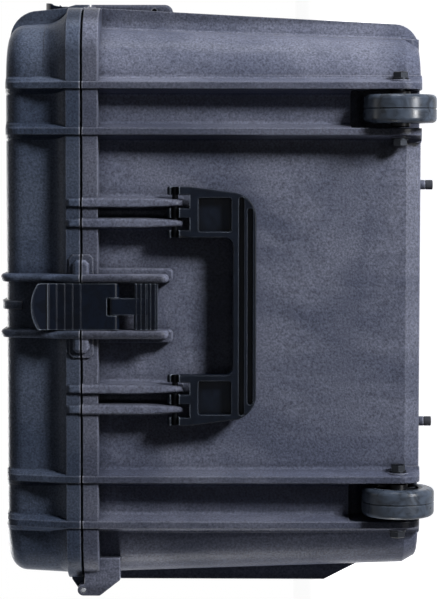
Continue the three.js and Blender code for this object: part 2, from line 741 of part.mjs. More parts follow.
// Latch lever: grip, hook over the lid flange and a fork for the link's tongue.
function makeLever() {
  const pinUp = partingHeight - leverPinDrop;
  const innerFace = hookClearance;
  const outerFace = innerFace + leverThickness;
  const hookUnder = lidFlangeTop + hookClearance;
  const tip = partingHeight + leverTipRise + leverTipCrown;
  const flare = partingHeight + leverFlareRise;
  const profile = [
    ...arc(latchPinProud, pinUp, leverBossRadius, 0.5, 1, edgeSteps * 2),
    [outerFace, flare],
    [outerFace + leverTipFlare, tip],
    [innerFace + leverTipFlare, tip],
    [innerFace, hookUnder + hookThickness],
    [-hookDepth, hookUnder + hookThickness],
    [-hookDepth, hookUnder],
    [innerFace, hookUnder],
    [innerFace, pinUp + leverBossRadius * 2],
  ];
  const sideView = across(profile, -latchHalfWidth, latchHalfWidth);
  const crownRadius = (latchHalfWidth ** 2 + leverTipCrown ** 2) / (2 * leverTipCrown);
  const edgeTurn = Math.asin(latchHalfWidth / crownRadius) / (2 * Math.PI);
  const face = outward([
    [-latchHalfWidth, pinUp - leverBossRadius - overrun],
    [latchHalfWidth, pinUp - leverBossRadius - overrun],
    ...arc(0, tip - crownRadius, crownRadius, 0.25 - edgeTurn, 0.25 + edgeTurn, edgeSteps * 2),
  ], -hookDepth - overrun, outerFace + leverTipFlare + overrun);
  const slot = block(-leverBossRadius, outerFace + overrun, -tongueHalfWidth - forkGap, tongueHalfWidth + forkGap,
    pinUp - leverBossRadius - overrun, pinUp + leverBossRadius * 2);
  const half = latchHalfWidth + overrun;
  const ridges = [];
  for (let i = 0; i < leverRidges; i += 1) {
    const up = partingHeight + i * leverRidgePitch;
    ridges.push(block(outerFace - latchRidgeDepth, outerFace + leverTipFlare + overrun, -half, half,
      up + latchRidgeWidth / 2, up + leverRidgePitch - latchRidgeWidth / 2));
  }
  return cut(solid(sideView).intersect(solid(face)), [
    slot,
    bar(latchPinRadius + pinClearance, -half, half, latchPinProud, pinUp),
    ...ridges.slice(0, leverRidges - 2),
  ]);
}

// Latch link: ridged plate on the base pin, with a tongue up to the lever pin.
function makeLink() {
  const leverPinUp = partingHeight - leverPinDrop;
  const linkPinUp = partingHeight - linkPinDrop;
  const plateTop = partingHeight - linkPlateTopDrop;
  const plateBottom = partingHeight - linkPlateBottomDrop;
  const inner = latchPinProud - leverBossRadius;
  const outer = inner + linkThickness + latchRidgeDepth;
  const plate = across([
    [inner, plateTop],
    [inner, plateBottom],
    [outer, plateBottom],
    [outer, plateTop],
  ], -latchHalfWidth, latchHalfWidth);
  const tongue = across([
    [inner, plateBottom + latchRidgeWidth],
    [outer - latchRidgeDepth, plateBottom + latchRidgeWidth],
    ...arc(latchPinProud, leverPinUp, leverBossRadius, 0, 0.5, edgeSteps * 2),
  ], -tongueHalfWidth, tongueHalfWidth);
  const half = latchHalfWidth + overrun;
  const grooves = [];
  for (let i = 1; i < linkRidges; i += 1) {
    const up = plateBottom + i * linkRidgePitch;
    grooves.push(block(outer - latchRidgeDepth, outer + overrun, -half, half,
      up - latchRidgeWidth / 2, up + latchRidgeWidth / 2));
  }
  return cut(joined([plate, tongue]), [
    bar(latchPinRadius + pinClearance, -half, half, latchPinProud, linkPinUp),
    bar(latchPinRadius + pinClearance, -half, half, latchPinProud, leverPinUp),
    ...grooves,
  ]);
}

// Fold-down handle: two arms with fingers round the lugs, and a grooved grip.
function makeHandle() {
  const pinUp = partingHeight - handlePinDrop;
  const barTop = partingHeight - handleBarDrop;
  const gripEdge = partingHeight - handleReachDrop;
  const inner = -handlePinInset - handleThickness / 2;
  const outer = inner + handleThickness;
  const cornerPlace = handleOuterHalf - handleArmTaper - handleOuterCorner;
  const frame = outward([
    [handleOuterHalf, barTop],
    [-handleOuterHalf, barTop],
    ...arc(-cornerPlace, gripEdge + handleOuterCorner, handleOuterCorner, 0.5, 0.75, edgeSteps),
    ...arc(cornerPlace, gripEdge + handleOuterCorner, handleOuterCorner, 0.75, 1, edgeSteps),
  ].reverse(), inner, outer);
  const opening = outward([
    [handleInnerHalf, barTop + overrun],
    [-handleInnerHalf, barTop + overrun],
    ...arc(-handleInnerHalf + handleInnerCorner, gripEdge + handleGripHeight + handleInnerCorner,
      handleInnerCorner, 0.5, 0.75, edgeSteps),
    ...arc(handleInnerHalf - handleInnerCorner, gripEdge + handleGripHeight + handleInnerCorner,
      handleInnerCorner, 0.75, 1, edgeSteps),
  ].reverse(), inner - overrun, outer + overrun);
  const fingers = [
    [handleInnerHalf + innerFingerWidth / 2, innerFingerWidth],
    [middleFingerPlace, middleFingerWidth],
    [outerFingerPlace, outerFingerWidth],
  ].flatMap(([place, width]) => [place, -place].map((middle) => across([
    [inner, barTop - overrun],
    [outer, barTop - overrun],
    ...arc(-handlePinInset, pinUp, handleKnuckleRadius, 0, 0.5, edgeSteps * 2),
  ], middle - width / 2, middle + width / 2)));
  const pocketTop = barTop - handleBarHeight;
  const pocketBottom = gripEdge + handleGripHeight - pocketMargin;
  const pockets = [1, -1].map((hand) => {
    const near = hand * (handleInnerHalf + pocketMargin);
    const far = hand * (handleOuterHalf - handleArmTaper - pocketMargin);
    return block(outer - pocketDepth, outer + overrun, Math.min(near, far), Math.max(near, far),
      pocketBottom + handleInnerCorner, pocketTop);
  });
  const grooves = [
    { place: gripGroovePitch, margin: gripGrooveMargin + gripGrooveMargin },
    { place: gripGroovePitch + gripGroovePitch, margin: gripGrooveMargin },
  ].map(({ place, margin }) => {
    const up = gripEdge + place - gripGrooveWidth / 2;
    const half = handleOuterHalf - margin;
    return block(outer - gripGrooveDepth, outer + overrun, -half, half,
      up - gripGrooveWidth / 2, up + gripGrooveWidth / 2);
  });
  const half = handleOuterHalf + overrun;
  return cut(joined([frame, ...fingers]), [
    opening,
    ...pockets,
    ...grooves,
    bar(handlePinRadius + pinClearance, -half, half, -handlePinInset, pinUp),
  ]);
}

// Wheel: tyre with a moulding seam round the middle of its tread, on a spoked hub.
function makeTyre() {
  const half = tyreWidth / 2;
  const shoulder = wheelRadius - tyreShoulder;
  const points = [
    [tyreBoreRadius, -half],
    [shoulder, -half],
    ...arc(shoulder, -half + tyreShoulder, tyreShoulder, -0.25, 0, edgeSteps),
    [wheelRadius, -tyreSeamWidth / 2],
    [wheelRadius - tyreSeamDepth, 0],
    [wheelRadius, tyreSeamWidth / 2],
    ...arc(shoulder, half - tyreShoulder, tyreShoulder, 0, 0.25, edgeSteps),
    [tyreBoreRadius, half],
    [tyreBoreRadius, -half],
  ].map(([r, y]) => new THREE.Vector2(r, y));
  return solid(new THREE.LatheGeometry(points, wheelSides));
}

function makeHub() {
  const seat = tyreBoreRadius - seatGap;
  const rim = tyreWidth / 2 - seatGap;
  const boss = wellHalfWidth - wheelSideGap;
  const points = [
    [axleRadius + wheelClearance, -boss],
    [hubBossRadius, -boss],
    [hubBossRadius, -hubWebWidth / 2],
    [hubRimRadius, -hubWebWidth / 2],
    [hubRimRadius, -rim],
    [seat, -rim],
    [seat, rim],
    [hubRimRadius, rim],
    [hubRimRadius, hubWebWidth / 2],
    [hubBossRadius, hubWebWidth / 2],
    [hubBossRadius, boss],
    [axleRadius + wheelClearance, boss],
    [axleRadius + wheelClearance, -boss],
  ].map(([r, y]) => new THREE.Vector2(r, y));
  const pockets = [];
  for (let i = 0; i < hubSpokes; i += 1) {
    const angle = (i * 2 * Math.PI) / hubSpokes;
    pockets.push(new THREE.CylinderGeometry(hubPocketRadius, hubPocketRadius, tyreWidth, pinSides)
      .translate(hubPocketPlace * Math.cos(angle), 0, hubPocketPlace * Math.sin(angle)));
  }
  return cut(solid(new THREE.LatheGeometry(points, wheelSides)), pockets);
}

// Axle bolt: hexagon head outside the fork, round shank through the hub to the nut.
function makeAxle() {
  const shank = forkOuter - forkInner + axleNutWidth + seatGap + axleHeadWidth / 2;
  return joined([
    new THREE.CylinderGeometry(axleRadius, axleRadius, shank, wheelSides)
      .translate(0, -shank / 2 + axleHeadWidth / 2, 0),
    new THREE.CylinderGeometry(axleHeadRadius, axleHeadRadius, axleHeadWidth, 6).translate(0, axleHeadWidth / 2, 0),
  ]);
}

function makeNut() {
  return cut(solid(new THREE.CylinderGeometry(axleHeadRadius, axleHeadRadius, axleNutWidth, 6)), [
    new THREE.CylinderGeometry(axleRadius + axleClearance, axleRadius + axleClearance,
      axleNutWidth + overrun, wheelSides),
  ]);
}

function makeFootTip() {
  const height = bottomHeight - footStemHeight - seatGap;
  return joined([
    new THREE.CylinderGeometry(footRadius, footRadius, height, pinSides).rotateX(Math.PI / 2)
      .translate(0, 0, height / 2),
    new THREE.CylinderGeometry(footTipSpigotRadius, footTipSpigotRadius, footTipSpigot + overrun, pinSides)
      .rotateX(Math.PI / 2)
      .translate(0, 0, height + (footTipSpigot - overrun) / 2),
  ]);
}

function pin(name, radius, from, to, out, up, look) {
  const mesh = piece(name, new THREE.CylinderGeometry(radius, radius, to - from, pinSides), look);
  mesh.position.set(out, (from + to) / 2, up);
  return mesh;
}

// A group that stands at a place on one side of the case, with its own +X pointing out of the case.
function sideGroup(side, along) {
  const group = new THREE.Group();
  group.rotation.z = side.turn;
  group.position.set(side.face * Math.cos(side.turn) - along * Math.sin(side.turn),
    side.face * Math.sin(side.turn) + along * Math.cos(side.turn), 0);
  return group;
}

const caseGroup = new THREE.Group();
caseGroup.add(piece('base_shell', geometryOf(makeBase()), 'shell'));
caseGroup.add(piece('lid_shell', geometryOf(makeLid()), 'lid'));
caseGroup.add(piece('lid_seal', geometryOf(makeSeal()), 'rubber'));

const leverGeometry = geometryOf(makeLever());
const linkGeometry = geometryOf(makeLink());
for (const { name, side, along } of latchStations) {
  const group = sideGroup(side, along);
  group.add(piece(`${name}_latch_lever`, leverGeometry, 'latch'));
  group.add(piece(`${name}_latch_link`, linkGeometry, 'latch'));
  group.add(pin(`${name}_lever_pin`, latchPinRadius, -latchHalfWidth + seatGap, latchHalfWidth - seatGap,
    latchPinProud, partingHeight - leverPinDrop, 'steel'));
  group.add(pin(`${name}_link_pin`, latchPinRadius, -linkPinHalf, linkPinHalf,
    latchPinProud, partingHeight - linkPinDrop, 'steel'));
  caseGroup.add(group);
}

const handleGeometry = geometryOf(makeHandle());
const pinFrom = handleInnerHalf + seatGap;
const pinTo = handleOuterHalf - seatGap;
for (const { name, side } of handleStations) {
  const group = sideGroup(side, 0);
  group.add(piece(`${name}_handle`, handleGeometry, 'handle'));
  group.add(pin(`${name}_handle_pin_right`, handlePinRadius, pinFrom, pinTo, -handlePinInset,
    partingHeight - handlePinDrop, 'steel'));
  group.add(pin(`${name}_handle_pin_left`, handlePinRadius, -pinTo, -pinFrom, -handlePinInset,
    partingHeight - handlePinDrop, 'steel'));
  caseGroup.add(group);
}

const hingeNames = ['hinge_pin_near', 'hinge_pin_middle', 'hinge_pin_far'];
hingePlaces.forEach((place, i) => {
  const group = sideGroup(sides.back, -place);
  group.add(pin(hingeNames[i], hingePinRadius, -hingeHalf, hingeHalf, hingeAxisProud, partingHeight, 'steel'));
  caseGroup.add(group);
});

const tyreGeometry = geometryOf(makeTyre());
const hubGeometry = geometryOf(makeHub());
const axleGeometry = geometryOf(makeAxle());
const nutGeometry = geometryOf(makeNut());
for (const { name, hand } of wheelHands) {
  const group = sideGroup(sides.near, hand * wheelPlace);
  const wheel = new THREE.Group();
  wheel.position.set(-wheelInset, 0, wheelRadius);
  wheel.rotation.z = hand > 0 ? 0 : Math.PI;
  wheel.add(piece(`${name}_tyre`, tyreGeometry, 'tyre'));
  wheel.add(piece(`${name}_hub`, hubGeometry, 'hub'));
  const axle = piece(`${name}_axle_bolt`, axleGeometry, 'darkSteel');
  axle.position.y = forkOuter - wheelPlace + seatGap;
  wheel.add(axle);
  const nut = piece(`${name}_axle_nut`, nutGeometry, 'darkSteel');
  nut.position.y = forkInner - wheelPlace - seatGap - axleNutWidth / 2;
  wheel.add(nut);
  group.add(wheel);
  caseGroup.add(group);
}

const tipGeometry = geometryOf(makeFootTip());
for (const foot of feet) {
  const tip = piece(`${foot.name}_foot_tip`, tipGeometry, 'rubber');
  tip.position.set(foot.x, foot.y, 0);
  caseGroup.add(tip);
}

// The origin is on the floor, in the middle of the space that the whole case takes up.
const frontLimit = frontFace + hookClearance + leverThickness + leverTipFlare;
const backLimit = hingeAxis + knuckleRadius;
const farLimit = endFace + hookClearance + leverThickness + leverTipFlare;
const nearLimit = wheelAxisPlace + wheelRadius;
caseGroup.position.set((backLimit - frontLimit) / 2, (nearLimit - farLimit) / 2, 0);

const flightCase = new THREE.Group();
flightCase.add(caseGroup);
export default flightCase;
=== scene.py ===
import json
import math
from collections import namedtuple

import bmesh
import bpy
from bpy.props import FloatProperty, FloatVectorProperty, PointerProperty
from mathutils import Matrix, Vector

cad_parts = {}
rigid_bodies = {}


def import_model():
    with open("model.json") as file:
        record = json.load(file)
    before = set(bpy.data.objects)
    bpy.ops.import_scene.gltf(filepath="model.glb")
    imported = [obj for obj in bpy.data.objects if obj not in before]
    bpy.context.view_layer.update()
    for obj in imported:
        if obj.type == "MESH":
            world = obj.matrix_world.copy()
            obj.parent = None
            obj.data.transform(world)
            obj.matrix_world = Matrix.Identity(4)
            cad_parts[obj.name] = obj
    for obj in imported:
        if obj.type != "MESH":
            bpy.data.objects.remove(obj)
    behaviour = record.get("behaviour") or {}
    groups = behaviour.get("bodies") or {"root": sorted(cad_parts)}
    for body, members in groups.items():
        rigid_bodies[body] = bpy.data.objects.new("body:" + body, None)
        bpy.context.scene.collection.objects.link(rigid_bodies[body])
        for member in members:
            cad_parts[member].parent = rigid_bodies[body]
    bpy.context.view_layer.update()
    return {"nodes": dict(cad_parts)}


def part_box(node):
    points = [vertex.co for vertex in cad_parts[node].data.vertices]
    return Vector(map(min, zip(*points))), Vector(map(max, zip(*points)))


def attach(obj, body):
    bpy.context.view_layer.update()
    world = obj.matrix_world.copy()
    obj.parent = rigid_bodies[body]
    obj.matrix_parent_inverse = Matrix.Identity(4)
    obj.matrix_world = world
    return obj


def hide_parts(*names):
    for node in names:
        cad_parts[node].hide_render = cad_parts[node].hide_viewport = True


bl_info = {
    "name": "Wheeled transport case",
    "version": (1, 0, 0),
    "blender": (4, 5, 0),
    "location": "View3D > Sidebar > Case",
    "description": "Builds a wheeled transport case piece by piece, with its materials and studio",
    "category": "Add Mesh",
}

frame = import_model()
MM = 0.001
# The photograph's height in pixels, and the camera's film in millimetres.
PHOTO_HEIGHT = 599
SENSOR = 36.0


def linear(code):
    """An sRGB hex colour as the linear colour that shaders take."""
    parts = [int(code[i:i + 2], 16) / 255 for i in (1, 3, 5)]
    return tuple(c / 12.92 if c <= 0.04045 else ((c + 0.055) / 1.055) ** 2.4 for c in parts)


def colour(label, text, code):
    """A colour that a user would change, written in sRGB hex."""
    return FloatVectorProperty(name=label, description=text, subtype="COLOR", size=3, min=0, max=1,
                               default=linear(code))


def length(label, text, millimetres):
    """A size that a user would change, written in millimetres."""
    return FloatProperty(name=label, description=text, unit="LENGTH", min=0, precision=5,
                         default=millimetres * MM)


def power(label, text, watts):
    """The strength of a lamp."""
    return FloatProperty(name=label, description=text, unit="POWER", min=0, default=watts)


def setting(label, text, value):
    """A plain number of a finish or a light."""
    return FloatProperty(name=label, description=text, min=0, default=value)


def add(tree, kind, fields=None, inputs=None):
    """Adds a node, sets its fields, and sets or links its inputs."""
    node = tree.nodes.new(kind)
    for field, value in (fields or {}).items():
        setattr(node, field, value)
    for socket, value in (inputs or {}).items():
        if isinstance(value, bpy.types.NodeSocket):
            tree.links.new(value, node.inputs[socket])
        else:
            node.inputs[socket].default_value = value
    return node


def rgba(colour_value):
    """A linear colour with full cover."""
    return (*colour_value, 1.0)


def new_material(name):
    """An empty node material, and the place of each point on the part."""
    material = bpy.data.materials.new(name)
    material.use_nodes = True
    tree = material.node_tree
    tree.nodes.clear()
    return material, tree, add(tree, "ShaderNodeTexCoord").outputs["Object"]


# Patterns in their real size: streaks to each flow mark and their share in it, the pebbles' height, the
# rounding of the shells' and of small edges, clouds, scratches, and how far the painted shade in corners
# spreads on small pieces.
STREAKS, STREAK_SHARE = 14, 0.22
PEBBLE_HIGH, SHELL_BEVEL, SMALL_BEVEL = 0.5 * MM, 0.7 * MM, 0.5 * MM
CLOUD, SCRATCH, CORNER_SHADE_REACH = 14.3 * MM, 1.1 * MM, 10 * MM
# How many rays look for near surfaces and round the edges, and which share of them gets clear of the
# surface on a flat face, at a proud edge, in a corner and in the open; and the least share of the tone that
# the painted shade in corners leaves.
NEAR_RAYS, BEVEL_RAYS = 8, 6
FLAT_SHARE, EDGE_SHARE = 0.9, 0.45
SHUT_SHARE, OPEN_SHARE, CORNER_SHADE_SHARE = 0.25, 0.95, 0.35


def edge_light(tree, width):
    """From 0 on flat surfaces to 1 on proud edges, found by how near the far side of the solid lies."""
    depth = add(tree, "ShaderNodeAmbientOcclusion", {
        "inside": True, "only_local": True, "samples": NEAR_RAYS}, {"Distance": width}).outputs["AO"]
    return add(tree, "ShaderNodeMapRange", {"interpolation_type": "SMOOTHSTEP"}, {
        "Value": depth, "From Min": FLAT_SHARE, "From Max": EDGE_SHARE, "To Min": 0.0,
        "To Max": 1.0}).outputs["Result"]


def painted_corner_shade(tree, reach):
    """Painted shade: from 1 on open surfaces down to a least share in corners and slots, where shade falls.
    """
    room = add(tree, "ShaderNodeAmbientOcclusion", {"samples": NEAR_RAYS}, {"Distance": reach}).outputs["AO"]
    return add(tree, "ShaderNodeMapRange", {}, {
        "Value": room, "From Min": SHUT_SHARE, "From Max": OPEN_SHARE, "To Min": CORNER_SHADE_SHARE,
        "To Max": 1.0}).outputs["Result"]


def toned(tree, tone, *shares):
    """The tone made darker or paler by each share in turn."""
    for share in shares:
        tone = add(tree, "ShaderNodeMix", {"data_type": "RGBA", "blend_type": "MULTIPLY"}, {
            "Factor": 1.0, 6: tone, 7: share}).outputs[2]
    return tone


def paint_edge_highlight_and_scuff(tree, tone, edge_colour, width, edge_highlight_and_scuff_share):
    """The tone with its proud edges painted towards a paler colour: a painted highlight, with scuffs."""
    share = add(tree, "ShaderNodeMath", {"operation": "MULTIPLY"}, {
        0: edge_light(tree, width), 1: edge_highlight_and_scuff_share}).outputs[0]
    return add(tree, "ShaderNodeMix", {"data_type": "RGBA"}, {
        "Factor": share, 6: tone, 7: rgba(edge_colour)}).outputs[2]


def relief(tree, edge, pattern, strength, height):
    """The surface's slope with its edges rounded and a pattern raised on it."""
    bevel = add(tree, "ShaderNodeBevel", {"samples": BEVEL_RAYS}, {"Radius": edge}).outputs["Normal"]
    return add(tree, "ShaderNodeBump", {}, {
        "Strength": strength, "Distance": height, "Height": pattern, "Normal": bevel}).outputs["Normal"]


def background_seen(tree):
    """1 where the camera, a reflection or a clear piece looks at the background, and 0 for its light."""
    rays = add(tree, "ShaderNodeLightPath").outputs
    direct = add(tree, "ShaderNodeMath", {"operation": "MAXIMUM"}, {
        0: rays["Is Camera Ray"], 1: rays["Is Glossy Ray"]}).outputs[0]
    return add(tree, "ShaderNodeMath", {"operation": "MAXIMUM"}, {
        0: direct, 1: rays["Is Transmission Ray"]}).outputs[0]


# The shells. All these places and sizes are in millimetres, and the solids set most of them. Out is measured
# from the flange's face on each side.
END_WALL, SIDE_WALL = 360.0, 284.0
END_TAPER, SIDE_TAPER = 8.0, 11.0
CORNER = 50.0
CORNER_STEPS = 14
FLOOR_UP, FLOOR_EDGE = 14.0, 15.0
PARTING, PARTING_GAP = 360.0, 2.0
WALL, FLOOR_THICKNESS = 5.5, 6.0
LID_TOP, LID_EDGE, LID_TAPER, LID_BULGE = 439.0, 18.0, 4.0, 6.5
FLANGE, BACK_FLANGE, FLANGE_DEEP = 20.0, 2.0, 16.0
RIM, RIM_DEEP, RIM_CHAMFER = 9.0, 11.0, 4.0
SEAL_IN, GROOVE, GROOVE_DEEP = 3.5, 5.0, 7.4
TONGUE, TONGUE_HIGH = 2.4, 4.0
# How far forms reach into each other, how near two points are one in a drawing and in a solid's copy, and how
# near a face an edge is on it.
SINK, SAME, SAME_IN_COPY, ON_FACE = 3.0, 0.001, 0.01, 0.01
# Ribs. The fillet and the crown of a rib get smaller where it stands less far out.
RIB_FACE, RIB_ROOT, RIB_PROUD, FILLET = 7.6, 14.5, 2.4, 4.0
LEAST_FILLET, FILLET_SHARE = 0.2, 0.5
LEAST_CROWN, CROWN_SHARE, TIP_SHARE = 0.1, 0.4, 0.96
END_RIB_LOW, FRONT_RIB_LOW, RIB_FOOT = 27.0, 15.0, 24.0
END_RIBS = (177.0, 223.4)
HANDLE_HALF = 121.45
STRAIGHT = END_WALL - CORNER
# Shares of the stretch from the front handle to the corner, and of the hinge side's half.
FRONT_RIB_SHARES, FRONT_LATCH_SHARE = (0.13, 0.745, 0.947), 0.443
BACK_RIB_SHARES, CORNER_RIB_SHARE = (0.31, 0.484, 0.658), 0.955
FRONT_RIBS = tuple(HANDLE_HALF + share * (STRAIGHT - HANDLE_HALF) for share in FRONT_RIB_SHARES)
FRONT_LATCH = HANDLE_HALF + FRONT_LATCH_SHARE * (STRAIGHT - HANDLE_HALF)
BACK_RIBS = tuple(share * STRAIGHT for share in BACK_RIB_SHARES)
BACK_RIB_PROUD, BACK_RIB_FOOT, BACK_RIB_SLANT = 4.0, 63.0, 47.0
CORNER_RIB, CORNER_RIB_PROUD = CORNER_RIB_SHARE * STRAIGHT, 8.0
TOP_RIB, TOP_RIB_IN = 4.5, 60.0
# The hollow sweep at the foot of the lid's wall: its radius, its turn in degrees, the share of a full turn
# where it ends, and its clearance.
SWEEP, SWEEP_TURN, SWEEP_END, SWEEP_CLEAR = 30.0, 52.0, 0.502, 1.0
# The front lid ribs lean in less than those of the ends and turn over the lid's edge in a wider arc.
LEAN_END, LEAN_FRONT, TURN_FRONT = FLANGE / 2, 1.0, 30.0
# Latch guards with their stepped lips, and the bosses beside them.
LATCH_HALF, LATCH_GAP = 23.5, 0.6
GUARD, GUARD_PROUD, GUARD_DROP, GUARD_END, GUARD_LEAN = 8.6, 10.0, 92.5, 9.0, 13.0
LIP, LIP_LOW, LIP_CORNER, LIP_SHORT = 5.4, 9.0, 5.0, 4.0
BOSS, BOSS_PROUD, BOSS_HIGH, BOSS_LIP, LIP_EDGE_SHARE = 20.0, 7.0, 11.5, 2.2, 0.3
LEVER_PIN_UP, LINK_PIN_UP, PIN_OUT = 326.8, 291.5, 3.0
PIN_HOLE = 2.8
# Handle lugs, hinge webs, wheel wells and feet.
LUG_PLACES, LUG, LUG_PROUD = (84.3, 104.9), 9.0, 3.5
# A lug's width as a share, at heights over the handle's pin and then round its tip.
LUG_LEVELS = ((34.0, 1.2), (12.0, 1.0), (5.0, 0.86))
LUG_TIP_SHARE, LUG_TIP_LOSS, LUG_TIP_TURN, LUG_EDGE_SHARE = 0.8, 0.25, -0.22, 0.75
HANDLE_PIN_UP, HANDLE_PIN_IN, KNUCKLE = 265.0, 4.0, 8.0
HINGE_PLACES, HINGE_OUT, HINGE_ROUND, HINGE_HOLE = (-316.0, 0.0, 316.0), 8.5, 6.0, 2.8
LID_KNUCKLE, BASE_KNUCKLE, KNUCKLE_GAP, KNUCKLE_TURN = 56.0, 16.0, 1.0, -0.48
WEB_IN, WEB_DROP, WEB_RISE = 25.0, 38.0, 13.0
WHEEL, WHEEL_IN, WHEEL_PLACE = 37.0, 16.0, 200.2
WELL_HALF, WELL_AROUND, WELL_ABOVE, WELL_CORNER = 19.4, 6.0, 13.0, 22.0
AXLE_BOSS, AXLE_BOSS_PROUD, AXLE_HOLE = 11.0, 2.4, 4.3
FEET = ((-123.0, -320.0), (123.0, -320.0), (-200.0, 320.0), (200.0, 320.0))
FOOT, FOOT_STEM, FOOT_HOLE, FOOT_HOLE_DEEP = 5.0, 6.0, 2.8, 2.3
# Handles, with their fingers, pockets, notches and slots.
HANDLE_IN, HANDLE, HANDLE_INNER_CORNER, HANDLE_CORNER = 69.5, 13.0, 8.0, 26.0
FINGERS, FINGER_GAP, FINGER_TURNS = (8.0, 9.8, 8.5), 0.9, (0.02, 0.48)
FINGER_PLACES = (HANDLE_IN + FINGERS[0] / 2, LUG_PLACES[0] + LUG / 2 + FINGER_GAP + FINGERS[1] / 2,
                 HANDLE_HALF - FINGERS[2] / 2)
BAR_DROP, BAR, GRIP_UP, GRIP, ARM_TAPER = 110.0, 9.0, 182.5, 24.0, 5.5
POCKET, POCKET_IN, POCKET_OUT, POCKET_CORNER, DRAFT = 9.0, 6.5, 11.5, 2.0, 0.4
NOTCH, NOTCH_OVER, NOTCH_CORNER = 4.4, 0.5, 0.6
SLOT, SLOT_PITCH, SLOT_DEEP, SLOT_END = 5.0, 8.8, 8.0, 11.0
HANDLE_PIN_HOLE = 3.3
# The shells' faces that stand furthest out are painted darker as painted shade, and a narrow band at the
# lugs' crowns paler as a painted highlight: axis, start and end of each change from the case's middle, and
# the share of the tone past it.
PROUD = (("Y", 377.0, 379.5, 0.82), ("Y", 380.5, 382.2, 0.85), ("Y", 382.6, 383.3, 1.6),
         ("Y", 386.0, 389.5, 0.42), ("X", 286.5, 293.0, 0.55))
# Latches. The boss round a pin ends at a share of a full turn.
LEVER, LEVER_BOSS, LEVER_BOSS_END, LEVER_FACE_UP = 7.5, 5.5, 1.06, 7.0
HOOK, HOOK_DEEP, HOOK_GAP = 7.0, 8.0, 0.5
FLARE_UP, TIP_UP, TIP_CROWN, TIP_FLARE = 384.0, 410.0, 7.0, 5.0
RIDGE, RIDGES, RIDGE_PITCH, RIDGE_LEAN = 1.2, 5, 8.0, 2.0
# The dish in the lever's tip: its rim, the middle that it widens from, and its size at its floor and rim.
DISH_RIM, DISH_MIDDLE, DISH_FLOOR_SHARE, DISH_RIM_SHARE = 1.7, 2.0, 0.93, 1.04
TONGUE_HALF, FORK_GAP, FORK_CORNER, LINK, PLATE_TOP, PLATE_FOOT = 8.5, 0.6, 1.2, 9.0, 53.4, 78.0
LINK_RIDGES, LINK_RIDGE_FIRST, LINK_RIDGE_PITCH = 5, 2.4, 4.8
# Wheels, axle bolts and nuts.
TYRE, TYRE_BORE, TYRE_SHOULDER, SEAM = 28.8, 26.0, 5.0, 0.9
HUB_RIM, HUB_BOSS, HUB_WEB, HUB_HOLE, HUB_HOLE_PLACE = 20.5, 10.0, 12.0, 2.6, 15.7
HUB_SEAT, HUB_PLAY, HUB_BORE, HUB_DRAFT, RIM_DRAFT = 0.3, 0.9, 0.1, 1.0, 0.6
SPOKES, SPOKE, SPOKE_SINK, SPOKE_EDGE = 6, 3.4, 1.0, 0.5
AXLE, HEAD, HEAD_WIDE, WASHER, SEAT = 4.0, 8.6, 8.0, 1.8, 0.3
BOLT_FLAT_IN, BOLT_CHAMFER, NUT_FLAT_IN, NUT_CHAMFER = 0.2, 1.6, 0.8, 1.2
WASHER_EDGE, SHANK_EDGE = 0.4, 0.6
FORK_IN = END_RIBS[0] - RIB_FACE / 2 - AXLE_BOSS_PROUD
FORK_OUT = END_RIBS[1] + RIB_FACE / 2 + AXLE_BOSS_PROUD
# The sides of a nut, of a round bar, of a finer one, and of a turned hub and tyre.
FLATS, ROUND, FINE_ROUND, HUB_ROUND, TYRE_ROUND = 6, 24, 36, 48, 72
# Steps along the arcs of pockets, small corners, the lid's edge, guards, hinge webs and handles, and of those
# round a lever's pin and over its tip.
POCKET_ARC, SMALL_ARC, EDGE_ARC, GUARD_ARC = 5, 8, 9, 10
WEB_ARC, HANDLE_ARC, PIN_ARC, TIP_ARC = 12, 14, 16, 20
# Steps across a rounded edge: of ridges and small pieces, of most pieces, of bosses and of guards.
FINE_STEPS, EDGE_STEPS, BOSS_STEPS, GUARD_STEPS = 2, 3, 4, 5
# Angles in degrees: above them an edge is rounded on a drawn form, rounded on a solid's copy, or shaded
# sharp, and below the last one two faces are one.
SHARP, SHARP_MESH, SHARP_SHADING, FLAT_ANGLE = 28, 40, 32, 1
# The rounding, in metres, of the solids that are shown as they are, and how matt a blackened pin is.
SEAL_EDGE, PIN_EDGE, HINGE_PIN_EDGE, TIP_EDGE = 1.2 * MM, 0.4 * MM, 0.5 * MM, 0.9 * MM
PIN_ROUGHNESS = 0.6

# The case's middle in the part's frame, and what differs between its four sides.
MIDDLE = Vector((sum(c.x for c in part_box("near_lever_pin")) / 2,
                 sum(c.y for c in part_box("hinge_pin_middle")) / 2, 0))
Side = namedtuple("Side", "turn face wall taper rib_low")
SIDES = {
    "front": Side(0.0, SIDE_WALL + FLANGE, SIDE_WALL, SIDE_TAPER, FRONT_RIB_LOW),
    "far": Side(math.pi / 2, END_WALL + FLANGE, END_WALL, END_TAPER, END_RIB_LOW),
    "back": Side(math.pi, SIDE_WALL + BACK_FLANGE, SIDE_WALL, SIDE_TAPER, BACK_FLANGE),
    "near": Side(-math.pi / 2, END_WALL + FLANGE, END_WALL, END_TAPER, END_RIB_LOW),
}


def arc(a, b, radius, start, end, steps):
    """Points round a centre, from one share of a full turn to another."""
    turns = [2 * math.pi * (start + (end - start) * i / steps) for i in range(steps + 1)]
    return [(a + radius * math.cos(t), b + radius * math.sin(t)) for t in turns]


def circle(a, b, radius, sides):
    """Points all round a centre."""
    return arc(a, b, radius, 0, 1 - 1 / sides, sides - 1)


def closed(points):
    """A flat outline's points without the ones that repeat."""
    return [p for i, p in enumerate(points) if math.dist(p, points[i - 1]) > SAME]


def loft(rings):
    """A closed form through rings of equally many points."""
    form = bmesh.new()
    rows = [[form.verts.new(p) for p in ring] for ring in rings]
    for low, high in zip(rows, rows[1:]):
        for i in range(len(low)):
            j = (i + 1) % len(low)
            form.faces.new((low[i], low[j], high[j], high[i]))
    form.faces.new(reversed(rows[0]))
    form.faces.new(rows[-1])
    bmesh.ops.recalc_face_normals(form, faces=form.faces)
    return form


